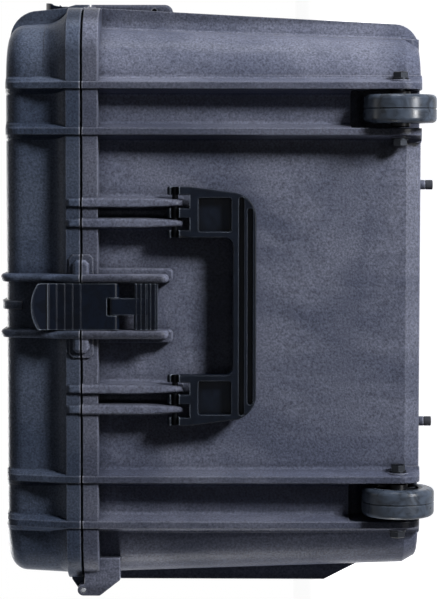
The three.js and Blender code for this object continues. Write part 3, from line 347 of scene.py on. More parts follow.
def across(points, low, high):
    """A side view, out and up, drawn out across its side."""
    points = closed(points)
    return loft([[(out, place, up) for out, up in points] for place in (low, high)])


def outward(points, low, high):
    """A face view, across and up, drawn out from its side."""
    points = closed(points)
    return loft([[(out, place, up) for place, up in points] for out in (low, high)])


def block(x0, x1, y0, y1, z0, z1):
    """A plain block between three pairs of places."""
    return loft([[(x0, y0, z), (x1, y0, z), (x1, y1, z), (x0, y1, z)] for z in (z0, z1)])


def bar(radius, low, high, out, up, sides=ROUND):
    """A round bar across a side."""
    return across(circle(out, up, radius, sides), low, high)


def upright_bar(radius, x, y, low, high):
    """A round bar that stands upright."""
    return loft([[(a, b, up) for a, b in circle(x, y, radius, ROUND)] for up in (low, high)])


def soften(form, width, segments=EDGE_STEPS, angle=SHARP, chosen=lambda middle: True):
    """Rounds every edge that is sharper than the angle and whose middle point is chosen."""
    sharp = [e for e in form.edges if len(e.link_faces) == 2 and e.calc_face_angle(0) > math.radians(angle)
             and chosen((e.verts[0].co + e.verts[1].co) / 2)]
    bmesh.ops.bevel(form, geom=sharp, offset=width, segments=segments, profile=0.5, affect="EDGES",
                    clamp_overlap=True)
    return form


def at_side(form, side, along=0.0):
    """Sets a form that is drawn out from the flange's face on its side of the case."""
    bmesh.ops.transform(form, verts=form.verts,
                        matrix=Matrix.Rotation(side.turn, 4, "Z") @ Matrix.Translation((side.face, along, 0)))
    return form


def plan_ring(up, back, front, end, radius):
    """A level ring with round corners, that reaches out to the back, the front and both ends."""
    centres = ((front - radius, end - radius), (radius - back, end - radius),
               (radius - back, radius - end), (front - radius, radius - end))
    points = []
    for quarter, (x, y) in enumerate(centres):
        points += [(a, b, up) for a, b in arc(x, y, radius, quarter / 4, (quarter + 1) / 4, CORNER_STEPS)]
    return points


def lean_share(up):
    """0 at the parting line and 1 at the floor, over which the base's walls lean in."""
    return (PARTING - up) / (PARTING - FLOOR_UP)


def base_ring(up, inset):
    """The base's wall at a height."""
    side = SIDE_WALL - SIDE_TAPER * lean_share(up) - inset
    end = END_WALL - END_TAPER * lean_share(up) - inset
    return plan_ring(up, side, side, end, CORNER - inset / 2)


def lid_ring(up, inset, bulge=0.0):
    """The lid's wall at a height. It bulges on the front and the ends, and not at the hinges."""
    lean = LID_TAPER * (up - PARTING) / (LID_TOP - PARTING) + inset
    return plan_ring(up, SIDE_WALL - lean, SIDE_WALL - lean + bulge, END_WALL - lean + bulge,
                     CORNER - lean / 2)


def flange_ring(up, inset):
    """The flange's outline, which hardly stands out at the hinges."""
    back, front, end = SIDE_WALL + BACK_FLANGE, SIDE_WALL + FLANGE, END_WALL + FLANGE
    return plan_ring(up, back - inset, front - inset, end - inset, CORNER - inset)


def rounded_flange(low, high, edge):
    """The flange as a ring stack with rounded outer edges."""
    turns = (0, math.pi / 6, math.pi / 3, math.pi / 2)
    lower = [(low + edge - edge * math.cos(t), edge - edge * math.sin(t)) for t in turns]
    levels = lower + [(low + high - up, inset) for up, inset in reversed(lower)]
    return loft([flange_ring(up, inset) for up, inset in levels])


# The base's bottom edge, inset and up: a narrow band leans in below a crease, then turns under.
FOLD = ((12.5, 0.0), (9.6, 0.5), (7.4, 1.5), (6.1, 2.9), (5.6, 4.0), (5.3, 4.8), (0.4, 14.4), (0.15, 15.0),
        (0.0, 15.8))
# The turns along a quarter of a rib's crown or fillet.
QUARTER = [i * math.pi / 10 for i in range(6)]
# Where the base ends and the lid starts, and where their flanges do.
BASE_UP, LID_LOW = PARTING - PARTING_GAP / 2, PARTING + PARTING_GAP / 2
FLANGE_LOW = BASE_UP - FLANGE_DEEP
LID_FLANGE_UP = LID_LOW + FLANGE_DEEP - PARTING_GAP / 2


def ridge_ring(root, wall, face, tip_half, foot_half, up, crown):
    """Across a ridge that stands on a wall: a rounded crown, flanks, and a hollow fillet at the wall."""
    proud = face - wall
    fillet = max(LEAST_FILLET, min(FILLET, FILLET_SHARE * proud))
    crown = max(LEAST_CROWN, min(crown, CROWN_SHARE * proud, TIP_SHARE * tip_half))
    flank = [(root, foot_half + fillet)]
    flank += [(wall + fillet - fillet * math.cos(t), foot_half + fillet - fillet * math.sin(t))
              for t in QUARTER]
    flank += [(face - crown + crown * math.sin(t), tip_half - crown + crown * math.cos(t)) for t in QUARTER]
    return [(out, -place, up) for out, place in flank] + [(out, place, up) for out, place in reversed(flank)]


def base_rib(side, along, crown):
    """Stiffening rib down a base wall, with drafted flanks, fillets and a rounded foot."""
    foot = [(FLOOR_UP + RIB_FOOT + up, RIB_FOOT - out) for out, up in arc(0, 0, RIB_FOOT, 0.75, 1, EDGE_ARC)]
    low = side.wall - side.taper + side.rib_low
    rings = []
    for up, inset in [*foot, (BASE_UP, 0)]:
        share = lean_share(up)
        face = side.face + RIB_PROUD + (low - side.face - RIB_PROUD) * share - inset
        wall = side.wall - side.taper * share
        rings.append(ridge_ring(wall - RIB_FOOT - SINK - side.face, wall - side.face, face - side.face,
                                RIB_FACE / 2, RIB_ROOT / 2, up, crown))
    return at_side(loft(rings), side, along)


def lid_rib(side, along, crown, lean=LEAN_END, turn=LID_EDGE):
    """Rib up the lid's wall and over its rounded edge, leaning in from the flange to where the edge turns."""
    over = FLANGE - LID_BULGE + LID_TAPER - lean
    root = side.wall - LID_EDGE - SINK - side.face
    edge = [(LID_TOP - turn + up, turn - out + lean) for out, up in arc(0, 0, turn, 0, 0.25, EDGE_ARC)]
    levels = [(LID_LOW, -RIB_PROUD), (LID_FLANGE_UP, -RIB_PROUD), *edge]
    rib = loft([ridge_ring(min(root, -inset - over - SINK), min(LID_BULGE - FLANGE, -inset - over), -inset,
                           RIB_FACE / 2, RIB_ROOT / 2, up, crown) for up, inset in levels])
    return at_side(rib, side, along)


def back_rib(along, proud, edge):
    """Short rib down the hinge side, with a slanting foot."""
    side = SIDES["back"]
    root = side.wall - side.taper - side.face - SINK
    rib = across([(root, FLANGE_LOW + SINK), (proud, FLANGE_LOW + SINK),
                  (proud, BACK_RIB_FOOT + BACK_RIB_SLANT), (root, BACK_RIB_FOOT)],
                 -RIB_FACE / 2, RIB_FACE / 2)
    return at_side(soften(rib, edge), side, along)


def base_guard(side, along, place, edge):
    """Round-backed rib beside a latch, down the base wall."""
    foot, root = PARTING - GUARD_DROP + LIP_SHORT, side.wall - side.face - side.taper - SINK
    rib = across([(root, BASE_UP), (GUARD_PROUD, BASE_UP),
                  *arc(GUARD_PROUD - GUARD_END, foot + GUARD_END, GUARD_END, 1, 0.75, SMALL_ARC),
                  (root, foot)],
                 place - GUARD / 2, place + GUARD / 2)
    soften(rib, edge, GUARD_STEPS, chosen=lambda p: p.x > root + SINK and p.z < BASE_UP - ON_FACE)
    return at_side(rib, side, along)


def lid_guard(side, along, place, edge):
    """Round-backed rib beside a latch, up the lid's wall and in over its top."""
    top, lean, wall = LID_TOP + TOP_RIB, GUARD_PROUD - GUARD_LEAN, side.wall - side.face
    rib = across([(wall - RIM, LID_LOW), (GUARD_PROUD, LID_LOW), (GUARD_PROUD, LID_FLANGE_UP),
                  (lean, top - LID_EDGE - TOP_RIB),
                  *arc(lean - LID_EDGE, top - LID_EDGE, LID_EDGE, 0, 0.25, GUARD_ARC),
                  (-TOP_RIB_IN - FLANGE, top), (-TOP_RIB_IN - FLANGE, LID_TOP - SINK),
                  (wall - LID_EDGE, LID_TOP - LID_EDGE), (wall - SINK, LID_FLANGE_UP)],
                 place - GUARD / 2, place + GUARD / 2)
    soften(rib, edge, GUARD_STEPS,
           chosen=lambda p: p.z > LID_LOW + ON_FACE and (p.x > -FLANGE + SINK or p.z > LID_TOP))
    return at_side(rib, side, along)


def crown_rib(side, edge):
    """End of the middle top rib, over the lid's rounded edge."""
    wall, centre = side.wall + LID_BULGE - LID_TAPER - side.face, LID_TOP - LID_EDGE
    rib = across([(wall - LID_EDGE, centre),
                  *arc(wall - LID_EDGE, centre, LID_EDGE + TOP_RIB, 0, 0.25, WEB_ARC),
                  (-TOP_RIB_IN - FLANGE, LID_TOP + TOP_RIB), (-TOP_RIB_IN - FLANGE, LID_TOP - SINK),
                  (wall - LID_EDGE, LID_TOP - SINK)], -GUARD / 2, GUARD / 2)
    soften(rib, edge, GUARD_STEPS, chosen=lambda p: p.x > wall or p.z > LID_TOP)
    return at_side(rib, side)


def guard_lip(side, along, place, edge):
    """Low step along a guard's outer side and round its foot."""
    hand, foot = math.copysign(1, place), PARTING - GUARD_DROP
    inner, outer = abs(place) - GUARD / 2, abs(place) + GUARD / 2 + LIP
    outline = [(inner, FLANGE_LOW + SINK), (outer, FLANGE_LOW + SINK),
               *arc(outer - LIP_CORNER, foot + LIP_CORNER, LIP_CORNER, 1, 0.75, SMALL_ARC),
               *arc(inner + LIP_CORNER, foot + LIP_CORNER, LIP_CORNER, 0.75, 0.5, SMALL_ARC)]
    lip = outward([(hand * a, up) for a, up in outline], side.wall - side.face - side.taper - SINK, -LIP_LOW)
    soften(lip, edge, chosen=lambda p: p.x > -LIP_LOW - SINK)
    return at_side(lip, side, along)


def boss(side, along, place, parting, tip, edge):
    """Stepped lump beside a latch, from the parting line to its tip, that a padlock can bear on."""
    hand, lumps = math.copysign(1, place), []
    inner, outer = abs(place) - BOSS / 2 - SINK, abs(place) + BOSS / 2
    for proud, far, short, step_edge in ((BOSS_LIP, outer, 0.0, edge * LIP_EDGE_SHARE),
                                         (BOSS_PROUD, outer - LIP, LIP_SHORT, edge)):
        end = tip + math.copysign(short, parting - tip)
        chamfer = LIP_SHORT if end < parting else -LIP_SHORT
        outline = [(inner, parting), (far, parting), (far, end + chamfer), (far - LIP_SHORT, end),
                   (inner, end)]
        lump = outward([(hand * a, up) for a, up in outline], -FLANGE / 2, proud)
        soften(lump, step_edge, BOSS_STEPS,
               chosen=lambda p: abs(p.z - parting) > ON_FACE and p.x > 0 and hand * p.y > inner + ON_FACE)
        lumps.append(at_side(lump, side, along))
    return lumps


def handle_lug(side, place, crown):
    """Rib from the flange down to the handle's pin, thinner towards its tip."""
    root, wall = side.wall - side.face - side.taper - SINK, side.wall - side.face
    levels = [(BASE_UP, LUG_PROUD, LUG_LEVELS[0][1])]
    levels += [(HANDLE_PIN_UP + rise, LUG_PROUD, share) for rise, share in LUG_LEVELS]
    tip = arc(LUG_PROUD - KNUCKLE, HANDLE_PIN_UP, KNUCKLE, 0, LUG_TIP_TURN, SMALL_ARC)
    levels += [(up, out, LUG_TIP_SHARE - LUG_TIP_LOSS * i / SMALL_ARC) for i, (out, up) in enumerate(tip)]
    rings = [ridge_ring(root, wall - side.taper * lean_share(up), out, LUG * share / 2, LUG * share / 2, up,
                        crown) for up, out, share in levels]
    return at_side(loft([[(x, y + place, z) for x, y, z in ring] for ring in reversed(rings)]), side)


def lid_lug(side, place, edge):
    """Short lump on the lid's flange over a handle lug."""
    wall = side.wall - side.face
    lug = across([(wall, LID_LOW), (LUG_PROUD, LID_LOW), (LUG_PROUD, LID_FLANGE_UP - LUG_PROUD),
                  (0, LID_FLANGE_UP), (wall, LID_FLANGE_UP)], place - LUG / 2, place + LUG / 2)
    soften(lug, edge, chosen=lambda p: p.z > LID_LOW + ON_FACE)
    return at_side(lug, side)


def base_knuckle(along, edge):
    """Hinge web on the base, round the pin and down to its foot."""
    foot = PARTING - WEB_DROP
    web = across([(-WEB_IN, BASE_UP), (HINGE_OUT - HINGE_ROUND, BASE_UP),
                  *arc(HINGE_OUT, PARTING, HINGE_ROUND, 0.5, 0, WEB_ARC),
                  (HINGE_OUT + HINGE_ROUND, FLANGE_LOW), (-BACK_FLANGE, foot), (-WEB_IN, foot)],
                 -BASE_KNUCKLE / 2, BASE_KNUCKLE / 2)
    return at_side(soften(web, edge), SIDES["back"], along)


def lid_knuckle(along, edge):
    """Hinge web on the lid, between two of the base's."""
    web = across([(-WEB_IN / 2, LID_LOW), *arc(HINGE_OUT, PARTING, HINGE_ROUND, KNUCKLE_TURN, 0, WEB_ARC),
                  (HINGE_OUT + HINGE_ROUND, PARTING + HINGE_ROUND / 2), (0, PARTING + WEB_RISE),
                  (-WEB_IN / 2, PARTING + WEB_RISE)], -LID_KNUCKLE / 2, LID_KNUCKLE / 2)
    return at_side(soften(web, edge), SIDES["back"], along)


def well(place, grown):
    """The pocket round a wheel, open downward and outward."""
    inner = -WHEEL_IN - WHEEL - WELL_AROUND - grown
    top, radius = 2 * WHEEL + WELL_ABOVE + grown, WELL_CORNER + grown
    half = WELL_HALF + grown
    room = across([(FLANGE, -SINK), (FLANGE, top),
                   *arc(inner + radius, top - radius, radius, 0.25, 0.5, SMALL_ARC), (inner, -SINK)],
                  place - half, place + half)
    return at_side(room, SIDES["near"])


def to_piece(name, form):
    """An object from a form drawn in millimetres, set where the solids are."""
    mesh = bpy.data.meshes.new(name)
    bmesh.ops.transform(form, verts=form.verts, matrix=Matrix.Translation(MIDDLE) @ Matrix.Scale(MM, 4))
    form.to_mesh(mesh)
    form.free()
    piece = bpy.data.objects.new(name, mesh)
    bpy.context.scene.collection.objects.link(piece)
    return piece


def boolean(piece, operation, **source):
    """The piece joined with, cut by or crossed with one other piece or a collection of them."""
    step = piece.modifiers.new("forms", "BOOLEAN")
    step.operation, step.solver = operation, "MANIFOLD"
    for field, value in source.items():
        setattr(step, field, value)
    graph = bpy.context.evaluated_depsgraph_get()
    mesh = bpy.data.meshes.new_from_object(piece.evaluated_get(graph))
    piece.modifiers.clear()
    piece.data = mesh


def change_by(piece, other, operation):
    """The piece after one join, cut or crossing with another piece, which is then gone."""
    boolean(piece, operation, object=other)
    bpy.data.objects.remove(other)


def solid_with(piece, forms, operation):
    """The piece joined with, or cut by, all the forms."""
    others = bpy.data.collections.new("forms")
    bpy.context.scene.collection.children.link(others)
    for i, form in enumerate(forms):
        other = to_piece(f"form_{i}", form)
        bpy.context.scene.collection.objects.unlink(other)
        others.objects.link(other)
    boolean(piece, operation, operand_type="COLLECTION", collection=others)
    for other in list(others.objects):
        bpy.data.objects.remove(other)
    bpy.data.collections.remove(others)
    return piece


def hand_in(piece, material, body, slot_name, *nodes):
    """Smooth shading, material and body for the piece, and the solids that it stands for hidden. The slot's
    name is not used.
    """
    mesh = piece.data
    mesh.materials.clear()
    mesh.materials.append(material)
    mesh.polygons.foreach_set("use_smooth", [True] * len(mesh.polygons))
    mesh.polygons.foreach_set("material_index", [0] * len(mesh.polygons))
    mesh.set_sharp_from_angle(angle=math.radians(SHARP_SHADING))
    weigh = piece.modifiers.new("even_normals", "WEIGHTED_NORMAL")
    weigh.keep_sharp = True
    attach(piece, body)
    if nodes:
        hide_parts(*nodes)
    return piece


# Each latch's name, its side, and its place along it. Then the sides with handles, and the places of the
# guards and bosses beside a latch.
STATIONS = (("near", "near", 0.0), ("far", "far", 0.0), ("front_left", "front", -FRONT_LATCH),
            ("front_right", "front", FRONT_LATCH))
HANDLE_SIDES = ("near", "far", "front")
GUARD_PLACE = LATCH_HALF + LATCH_GAP + GUARD / 2
BOSS_PLACE = LATCH_HALF + LATCH_GAP + GUARD + BOSS / 2


def both(places):
    """Each place on both sides of the middle."""
    return [hand * place for place in places for hand in (1, -1)]


def both_stretches(low, high):
    """A stretch on both sides of the middle."""
    return ((low, high), (-high, -low))


def base_forms(looks):
    """All that stands on the base's outside."""
    crown, guard, edge = looks.rib_edge / MM, looks.guard_edge / MM, looks.edge / MM
    forms = [rounded_flange(FLANGE_LOW, BASE_UP, edge)]
    for end in ("near", "far"):
        forms += [base_rib(SIDES[end], place, crown) for place in both(END_RIBS)]
    forms += [base_rib(SIDES["front"], place, crown) for place in both(FRONT_RIBS)]
    forms += [back_rib(place, BACK_RIB_PROUD, crown) for place in both(BACK_RIBS)]
    forms += [back_rib(place, CORNER_RIB_PROUD, crown) for place in (CORNER_RIB, -CORNER_RIB)]
    for _, side, along in STATIONS:
        for hand in (1, -1):
            forms.append(base_guard(SIDES[side], along, hand * GUARD_PLACE, guard))
            forms.append(guard_lip(SIDES[side], along, hand * GUARD_PLACE, guard / 2))
            forms += boss(SIDES[side], along, hand * BOSS_PLACE, BASE_UP, BASE_UP - BOSS_HIGH, guard)
    for side in HANDLE_SIDES:
        forms += [handle_lug(SIDES[side], place, guard * LUG_EDGE_SHARE) for place in both(LUG_PLACES)]
    offset = LID_KNUCKLE / 2 + KNUCKLE_GAP + BASE_KNUCKLE / 2
    forms += [base_knuckle(place + hand * offset, edge) for place in HINGE_PLACES for hand in (1, -1)]
    forms += [upright_bar(FOOT, x, y, FLOOR_UP - FOOT_STEM, FLOOR_UP + SINK) for x, y in FEET]
    forms += [at_side(soften(bar(AXLE_BOSS, low, high, -WHEEL_IN, WHEEL), edge / 2), SIDES["near"])
              for low, high in both_stretches(FORK_IN, FORK_OUT)]
    return forms


def base_cuts():
    """Wheel wells and the holes for axles, pins and feet."""
    cuts = [well(hand * WHEEL_PLACE, 0) for hand in (1, -1)]
    cuts += [at_side(bar(AXLE_HOLE, low, high, -WHEEL_IN, WHEEL), SIDES["near"])
             for low, high in both_stretches(FORK_IN - WALL, FORK_OUT + WALL)]
    half = LATCH_HALF + LATCH_GAP + GUARD + SINK
    cuts += [at_side(bar(PIN_HOLE, -half, half, PIN_OUT, LINK_PIN_UP), SIDES[side], along)
             for _, side, along in STATIONS]
    lugs = both_stretches(LUG_PLACES[0] - LUG, LUG_PLACES[1] + LUG)
    cuts += [at_side(bar(HANDLE_PIN_HOLE, low, high, -HANDLE_PIN_IN, HANDLE_PIN_UP), SIDES[side])
             for side in HANDLE_SIDES for low, high in lugs]
    cuts += [hinge_hole(place) for place in HINGE_PLACES]
    cuts += [upright_bar(FOOT_HOLE, x, y, FLOOR_UP - FOOT_STEM - SINK, FLOOR_UP - FOOT_STEM + FOOT_HOLE_DEEP)
             for x, y in FEET]
    return cuts


def hinge_hole(place):
    """The hole of a hinge pin, through three webs."""
    half = LID_KNUCKLE / 2 + KNUCKLE_GAP + BASE_KNUCKLE + SINK
    return at_side(bar(HINGE_HOLE, -half, half, HINGE_OUT, PARTING), SIDES["back"], place)


def rim_wall(name, ring, low, high, half):
    """A narrow wall all round the rim, centred where the seal lies."""
    wall = to_piece(name, loft([ring(up, SEAL_IN - half) for up in (low, high)]))
    inside = loft([ring(up, SEAL_IN + half) for up in (low - SINK, high + SINK)])
    return solid_with(wall, [inside], "DIFFERENCE")


def make_base(looks):
    """Tub with a folded bottom edge, all that stands on it, its room inside, its tongue and its holes."""
    edge_rings = [base_ring(FLOOR_UP + up, inset) for inset, up in FOLD]
    shell = to_piece("base_moulding", loft([*edge_rings, base_ring(BASE_UP, 0)]))
    solid_with(shell, base_forms(looks), "UNION")
    room = to_piece("base_room", loft([
        base_ring(FLOOR_UP + FLOOR_THICKNESS, FLOOR_EDGE), base_ring(FLOOR_UP + FLOOR_EDGE, WALL),
        base_ring(BASE_UP - RIM_DEEP - RIM_CHAMFER, WALL), base_ring(BASE_UP - RIM_DEEP, RIM),
        base_ring(BASE_UP + SINK, RIM)]))
    solid_with(room, [well(hand * WHEEL_PLACE, WALL) for hand in (1, -1)], "DIFFERENCE")
    change_by(shell, room, "DIFFERENCE")
    tongue = rim_wall("base_tongue", base_ring, BASE_UP - SINK, BASE_UP + TONGUE_HIGH, TONGUE / 2)
    change_by(shell, tongue, "UNION")
    return solid_with(shell, base_cuts(), "DIFFERENCE")


def lid_forms(looks):
    """All that stands on the lid's outside."""
    crown, guard, edge = looks.rib_edge / MM, looks.guard_edge / MM, looks.edge / MM
    forms = [rounded_flange(LID_LOW, LID_FLANGE_UP, edge)]
    for end in ("near", "far"):
        forms += [lid_rib(SIDES[end], place, crown) for place in both(END_RIBS)]
    forms += [lid_rib(SIDES["front"], place, crown, LEAN_FRONT, TURN_FRONT) for place in both(FRONT_RIBS)]
    for _, side, along in STATIONS:
        for hand in (1, -1):
            forms.append(lid_guard(SIDES[side], along, hand * GUARD_PLACE, guard))
            forms += boss(SIDES[side], along, hand * BOSS_PLACE, LID_LOW, LID_LOW + BOSS_HIGH, guard)
    for side in HANDLE_SIDES:
        forms += [lid_lug(SIDES[side], place, guard * LUG_EDGE_SHARE) for place in both(LUG_PLACES)]
    forms += [lid_knuckle(place, edge) for place in HINGE_PLACES]
    half = END_WALL + LID_BULGE - LID_EDGE - LID_TAPER
    for place in (-GUARD_PLACE, 0, GUARD_PLACE):
        top_rib = block(place - GUARD / 2, place + GUARD / 2, -half, half, LID_TOP - SINK, LID_TOP + TOP_RIB)
        forms.append(soften(top_rib, guard, GUARD_STEPS, chosen=lambda p: p.z > LID_TOP))
    forms += [crown_rib(SIDES[end], guard) for end in ("near", "far")]
    return forms


def lid_sweep():
    """The hollow sweep from the lid's wall to its flange, left open where the latches hook over it."""
    centre_up = LID_FLANGE_UP + SWEEP * math.sin(math.radians(SWEEP_TURN))
    curve = arc(LID_BULGE + SWEEP, centre_up, SWEEP, 0.5 + SWEEP_TURN / 360, SWEEP_END, GUARD_ARC)
    levels = [(curve[0][0], LID_FLANGE_UP - SINK), *curve, (LID_BULGE - SWEEP_CLEAR, curve[-1][1])]
    sweep = to_piece("lid_sweep", loft([lid_ring(up, SINK, SINK + out) for out, up in levels]))
    half, low = LATCH_HALF + LATCH_GAP + SWEEP_CLEAR, LID_FLANGE_UP - SWEEP_CLEAR
    rooms = [at_side(block(-2 * FLANGE, SINK, -half, half, low, LID_TOP), SIDES[side], along)
             for _, side, along in STATIONS]
    return solid_with(sweep, rooms, "DIFFERENCE")


def make_lid(looks):
    """Lid with a rounded top edge, all that stands on it, its room inside, its groove and its hinge holes."""
    edge_rings = [lid_ring(LID_TOP - LID_EDGE + up, LID_EDGE - out, LID_BULGE)
                  for out, up in arc(0, 0, LID_EDGE, 0, 0.25, EDGE_ARC)]
    shell = to_piece("lid_moulding", loft([lid_ring(LID_LOW, 0, LID_BULGE), *edge_rings]))
    solid_with(shell, lid_forms(looks), "UNION")
    change_by(shell, lid_sweep(), "UNION")
    room = loft([lid_ring(LID_LOW - SINK, RIM), lid_ring(LID_LOW + RIM_DEEP, RIM),
                 lid_ring(LID_LOW + RIM_DEEP + RIM_CHAMFER + LID_BULGE, WALL, LID_BULGE),
                 lid_ring(LID_TOP - LID_EDGE, WALL, LID_BULGE),
                 lid_ring(LID_TOP - WALL, LID_EDGE, LID_BULGE)])
    solid_with(shell, [room], "DIFFERENCE")
    groove = rim_wall("lid_groove", lid_ring, LID_LOW - SINK, LID_LOW + GROOVE_DEEP, GROOVE / 2)
    change_by(shell, groove, "DIFFERENCE")
    return solid_with(shell, [hinge_hole(place) for place in HINGE_PLACES], "DIFFERENCE")


def plate_ring(out, low, high, foot, head, radius, grown=0.0):
    """A ring in a side's own plane, with its four corners rounded."""
    r = radius + grown
    low, high, foot, head = low - grown, high + grown, foot - grown, head + grown
    centres = ((high - r, head - r), (low + r, head - r), (low + r, foot + r), (high - r, foot + r))
    points = []
    for quarter, (place, up) in enumerate(centres):
        points += arc(place, up, r, quarter / 4, (quarter + 1) / 4, POCKET_ARC)
    return [(out, place, up) for place, up in points]


def pocket(low, high, foot, head, radius, bottom, face, rim):
    """A cutter for a pocket with drafted walls and a rounded rim."""
    low, high = sorted((low, high))
    return loft([plate_ring(bottom, low, high, foot, head, radius, -DRAFT),
                 plate_ring(face - rim, low, high, foot, head, radius),
                 plate_ring(face - rim / 3, low, high, foot, head, radius, rim / 3),
                 plate_ring(face + rim, low, high, foot, head, radius, 2 * rim)])


def lever_face(up):
    """How far out the lever's face lies at a height: the grip leans outward."""
    return HOOK_GAP + LEVER + max(0.0, (up - FLARE_UP) / (TIP_UP - FLARE_UP)) * TIP_FLARE


def leaned(form):
    """Moves a cutter drawn on the lever's flat face onto its leaning grip."""
    for vert in form.verts:
        vert.co.x += lever_face(vert.co.z) - HOOK_GAP - LEVER
    return form


def tip_arc(radius, inset, foot_turn):
    """The rounded tip of a lever in its face view, inset from its outline."""
    return arc(0, TIP_UP - radius, radius - inset, 0.25 - foot_turn, 0.25 + foot_turn, TIP_ARC)


def make_lever(name, side, along, looks):
    """Lever with stepped finger ridges, a dished tip and a hook over the lid's flange."""
    teeth = []
    for i in range(RIDGES):
        up = PARTING + i * RIDGE_PITCH
        teeth += [(lever_face(up) - RIDGE, up - RIDGE / 2), (lever_face(up), up + RIDGE / 4),
                  (lever_face(up + RIDGE_LEAN), up + RIDGE)]
    hook_up = LID_FLANGE_UP + HOOK_GAP
    profile = [*arc(PIN_OUT, LEVER_PIN_UP, LEVER_BOSS, 0.5, LEVER_BOSS_END, PIN_ARC),
               (lever_face(0) - RIDGE / 2, LEVER_PIN_UP + LEVER_FACE_UP), *teeth,
               (lever_face(TIP_UP), TIP_UP), (lever_face(TIP_UP) - LEVER, TIP_UP),
               (HOOK_GAP, hook_up + HOOK), (-HOOK_DEEP, hook_up + HOOK), (-HOOK_DEEP, hook_up),
               (HOOK_GAP, hook_up), (HOOK_GAP, LEVER_PIN_UP + 2 * LEVER_BOSS)]
    lever = soften(across(profile, -LATCH_HALF, LATCH_HALF), looks.fine_edge / MM, FINE_STEPS)
    radius = (LATCH_HALF ** 2 + TIP_CROWN ** 2) / (2 * TIP_CROWN)
    tip = tip_arc(radius, 0, math.asin(LATCH_HALF / radius) / (2 * math.pi))
    face = outward([(-LATCH_HALF, FLOOR_UP), (LATCH_HALF, FLOOR_UP), *tip], -HOOK_DEEP - SINK,
                   LEVER * 2 + TIP_FLARE)
    face = soften(face, looks.edge / MM, chosen=lambda p: p.z > PARTING + SINK)
    piece = to_piece(name, at_side(lever, side, along))
    change_by(piece, to_piece("lever_outline", at_side(face, side, along)), "INTERSECT")
    dish_foot = PARTING + RIDGES * RIDGE_PITCH - RIDGE_PITCH + DISH_RIM
    turn = math.acos((dish_foot - TIP_UP + radius) / (radius - DISH_RIM)) / (2 * math.pi)
    lens, middle_up = closed(tip_arc(radius, DISH_RIM, turn)), dish_foot + DISH_MIDDLE
    level = LEVER + HOOK_GAP
    dish = loft([[(out, a * size, middle_up + (up - middle_up) * size) for a, up in lens]
                 for out, size in ((level - RIDGE, DISH_FLOOR_SHARE), (level - RIDGE / 3, 1.0),
                                   (level + RIDGE, DISH_RIM_SHARE))])
    half, head = TONGUE_HALF + FORK_GAP, LEVER_PIN_UP + LEVER_BOSS + 2 * FORK_GAP
    slot = loft([plate_ring(out, -half, half, FLOOR_UP, head, FORK_CORNER)
                 for out in (-LEVER_BOSS, LEVER * 2)])
    hole = bar(PIN_HOLE, -LATCH_HALF - SINK, LATCH_HALF + SINK, PIN_OUT, LEVER_PIN_UP)
    cuts = [at_side(form, side, along) for form in (leaned(dish), slot, hole)]
    return solid_with(piece, cuts, "DIFFERENCE")


def make_link(name, side, along, looks):
    """Link with a stepped plate, side lips and a tongue into the lever's fork."""
    inner = PIN_OUT - LEVER_BOSS
    outer = inner + LINK + RIDGE
    foot, top = PARTING - PLATE_FOOT, PARTING - PLATE_TOP
    edge = looks.fine_edge / MM
    steps = [(outer - RIDGE, foot)]
    for i in range(LINK_RIDGES):
        up = foot + LINK_RIDGE_FIRST + i * LINK_RIDGE_PITCH
        steps += [(outer - RIDGE, up - RIDGE / 2), (outer, up + RIDGE / 4), (outer - RIDGE / 4, up + RIDGE)]
    plate = across([(inner, foot), *steps, (outer - RIDGE, top), (inner, top)], -LATCH_HALF, LATCH_HALF)
    tongue = across([(inner, foot + SINK), (outer - RIDGE, foot + SINK),
                     *arc(PIN_OUT, LEVER_PIN_UP, LEVER_BOSS, 0, 0.5, HANDLE_ARC)], -TONGUE_HALF, TONGUE_HALF)
    piece = to_piece(name, at_side(soften(plate, edge, FINE_STEPS), side, along))
    solid_with(piece, [at_side(soften(tongue, edge, FINE_STEPS), side, along)], "UNION")
    half = LATCH_HALF + SINK
    cuts = [bar(PIN_HOLE, -half, half, PIN_OUT, up) for up in (LINK_PIN_UP, LEVER_PIN_UP)]
    return solid_with(piece, [at_side(form, side, along) for form in cuts], "DIFFERENCE")


def handle_outline():
    """The handle's arms draw in towards its grip, and large arcs turn its corners."""
    edge, top = HANDLE_HALF - ARM_TAPER, PARTING - BAR_DROP
    corner = arc(edge - HANDLE_CORNER, GRIP_UP + HANDLE_CORNER, HANDLE_CORNER, 0.75, 1, HANDLE_ARC)
    right = [(HANDLE_HALF, top), (edge, GRIP_UP + HANDLE_CORNER), *reversed(corner[:-1])]
    return [*right, *[(-place, up) for place, up in reversed(right)]]


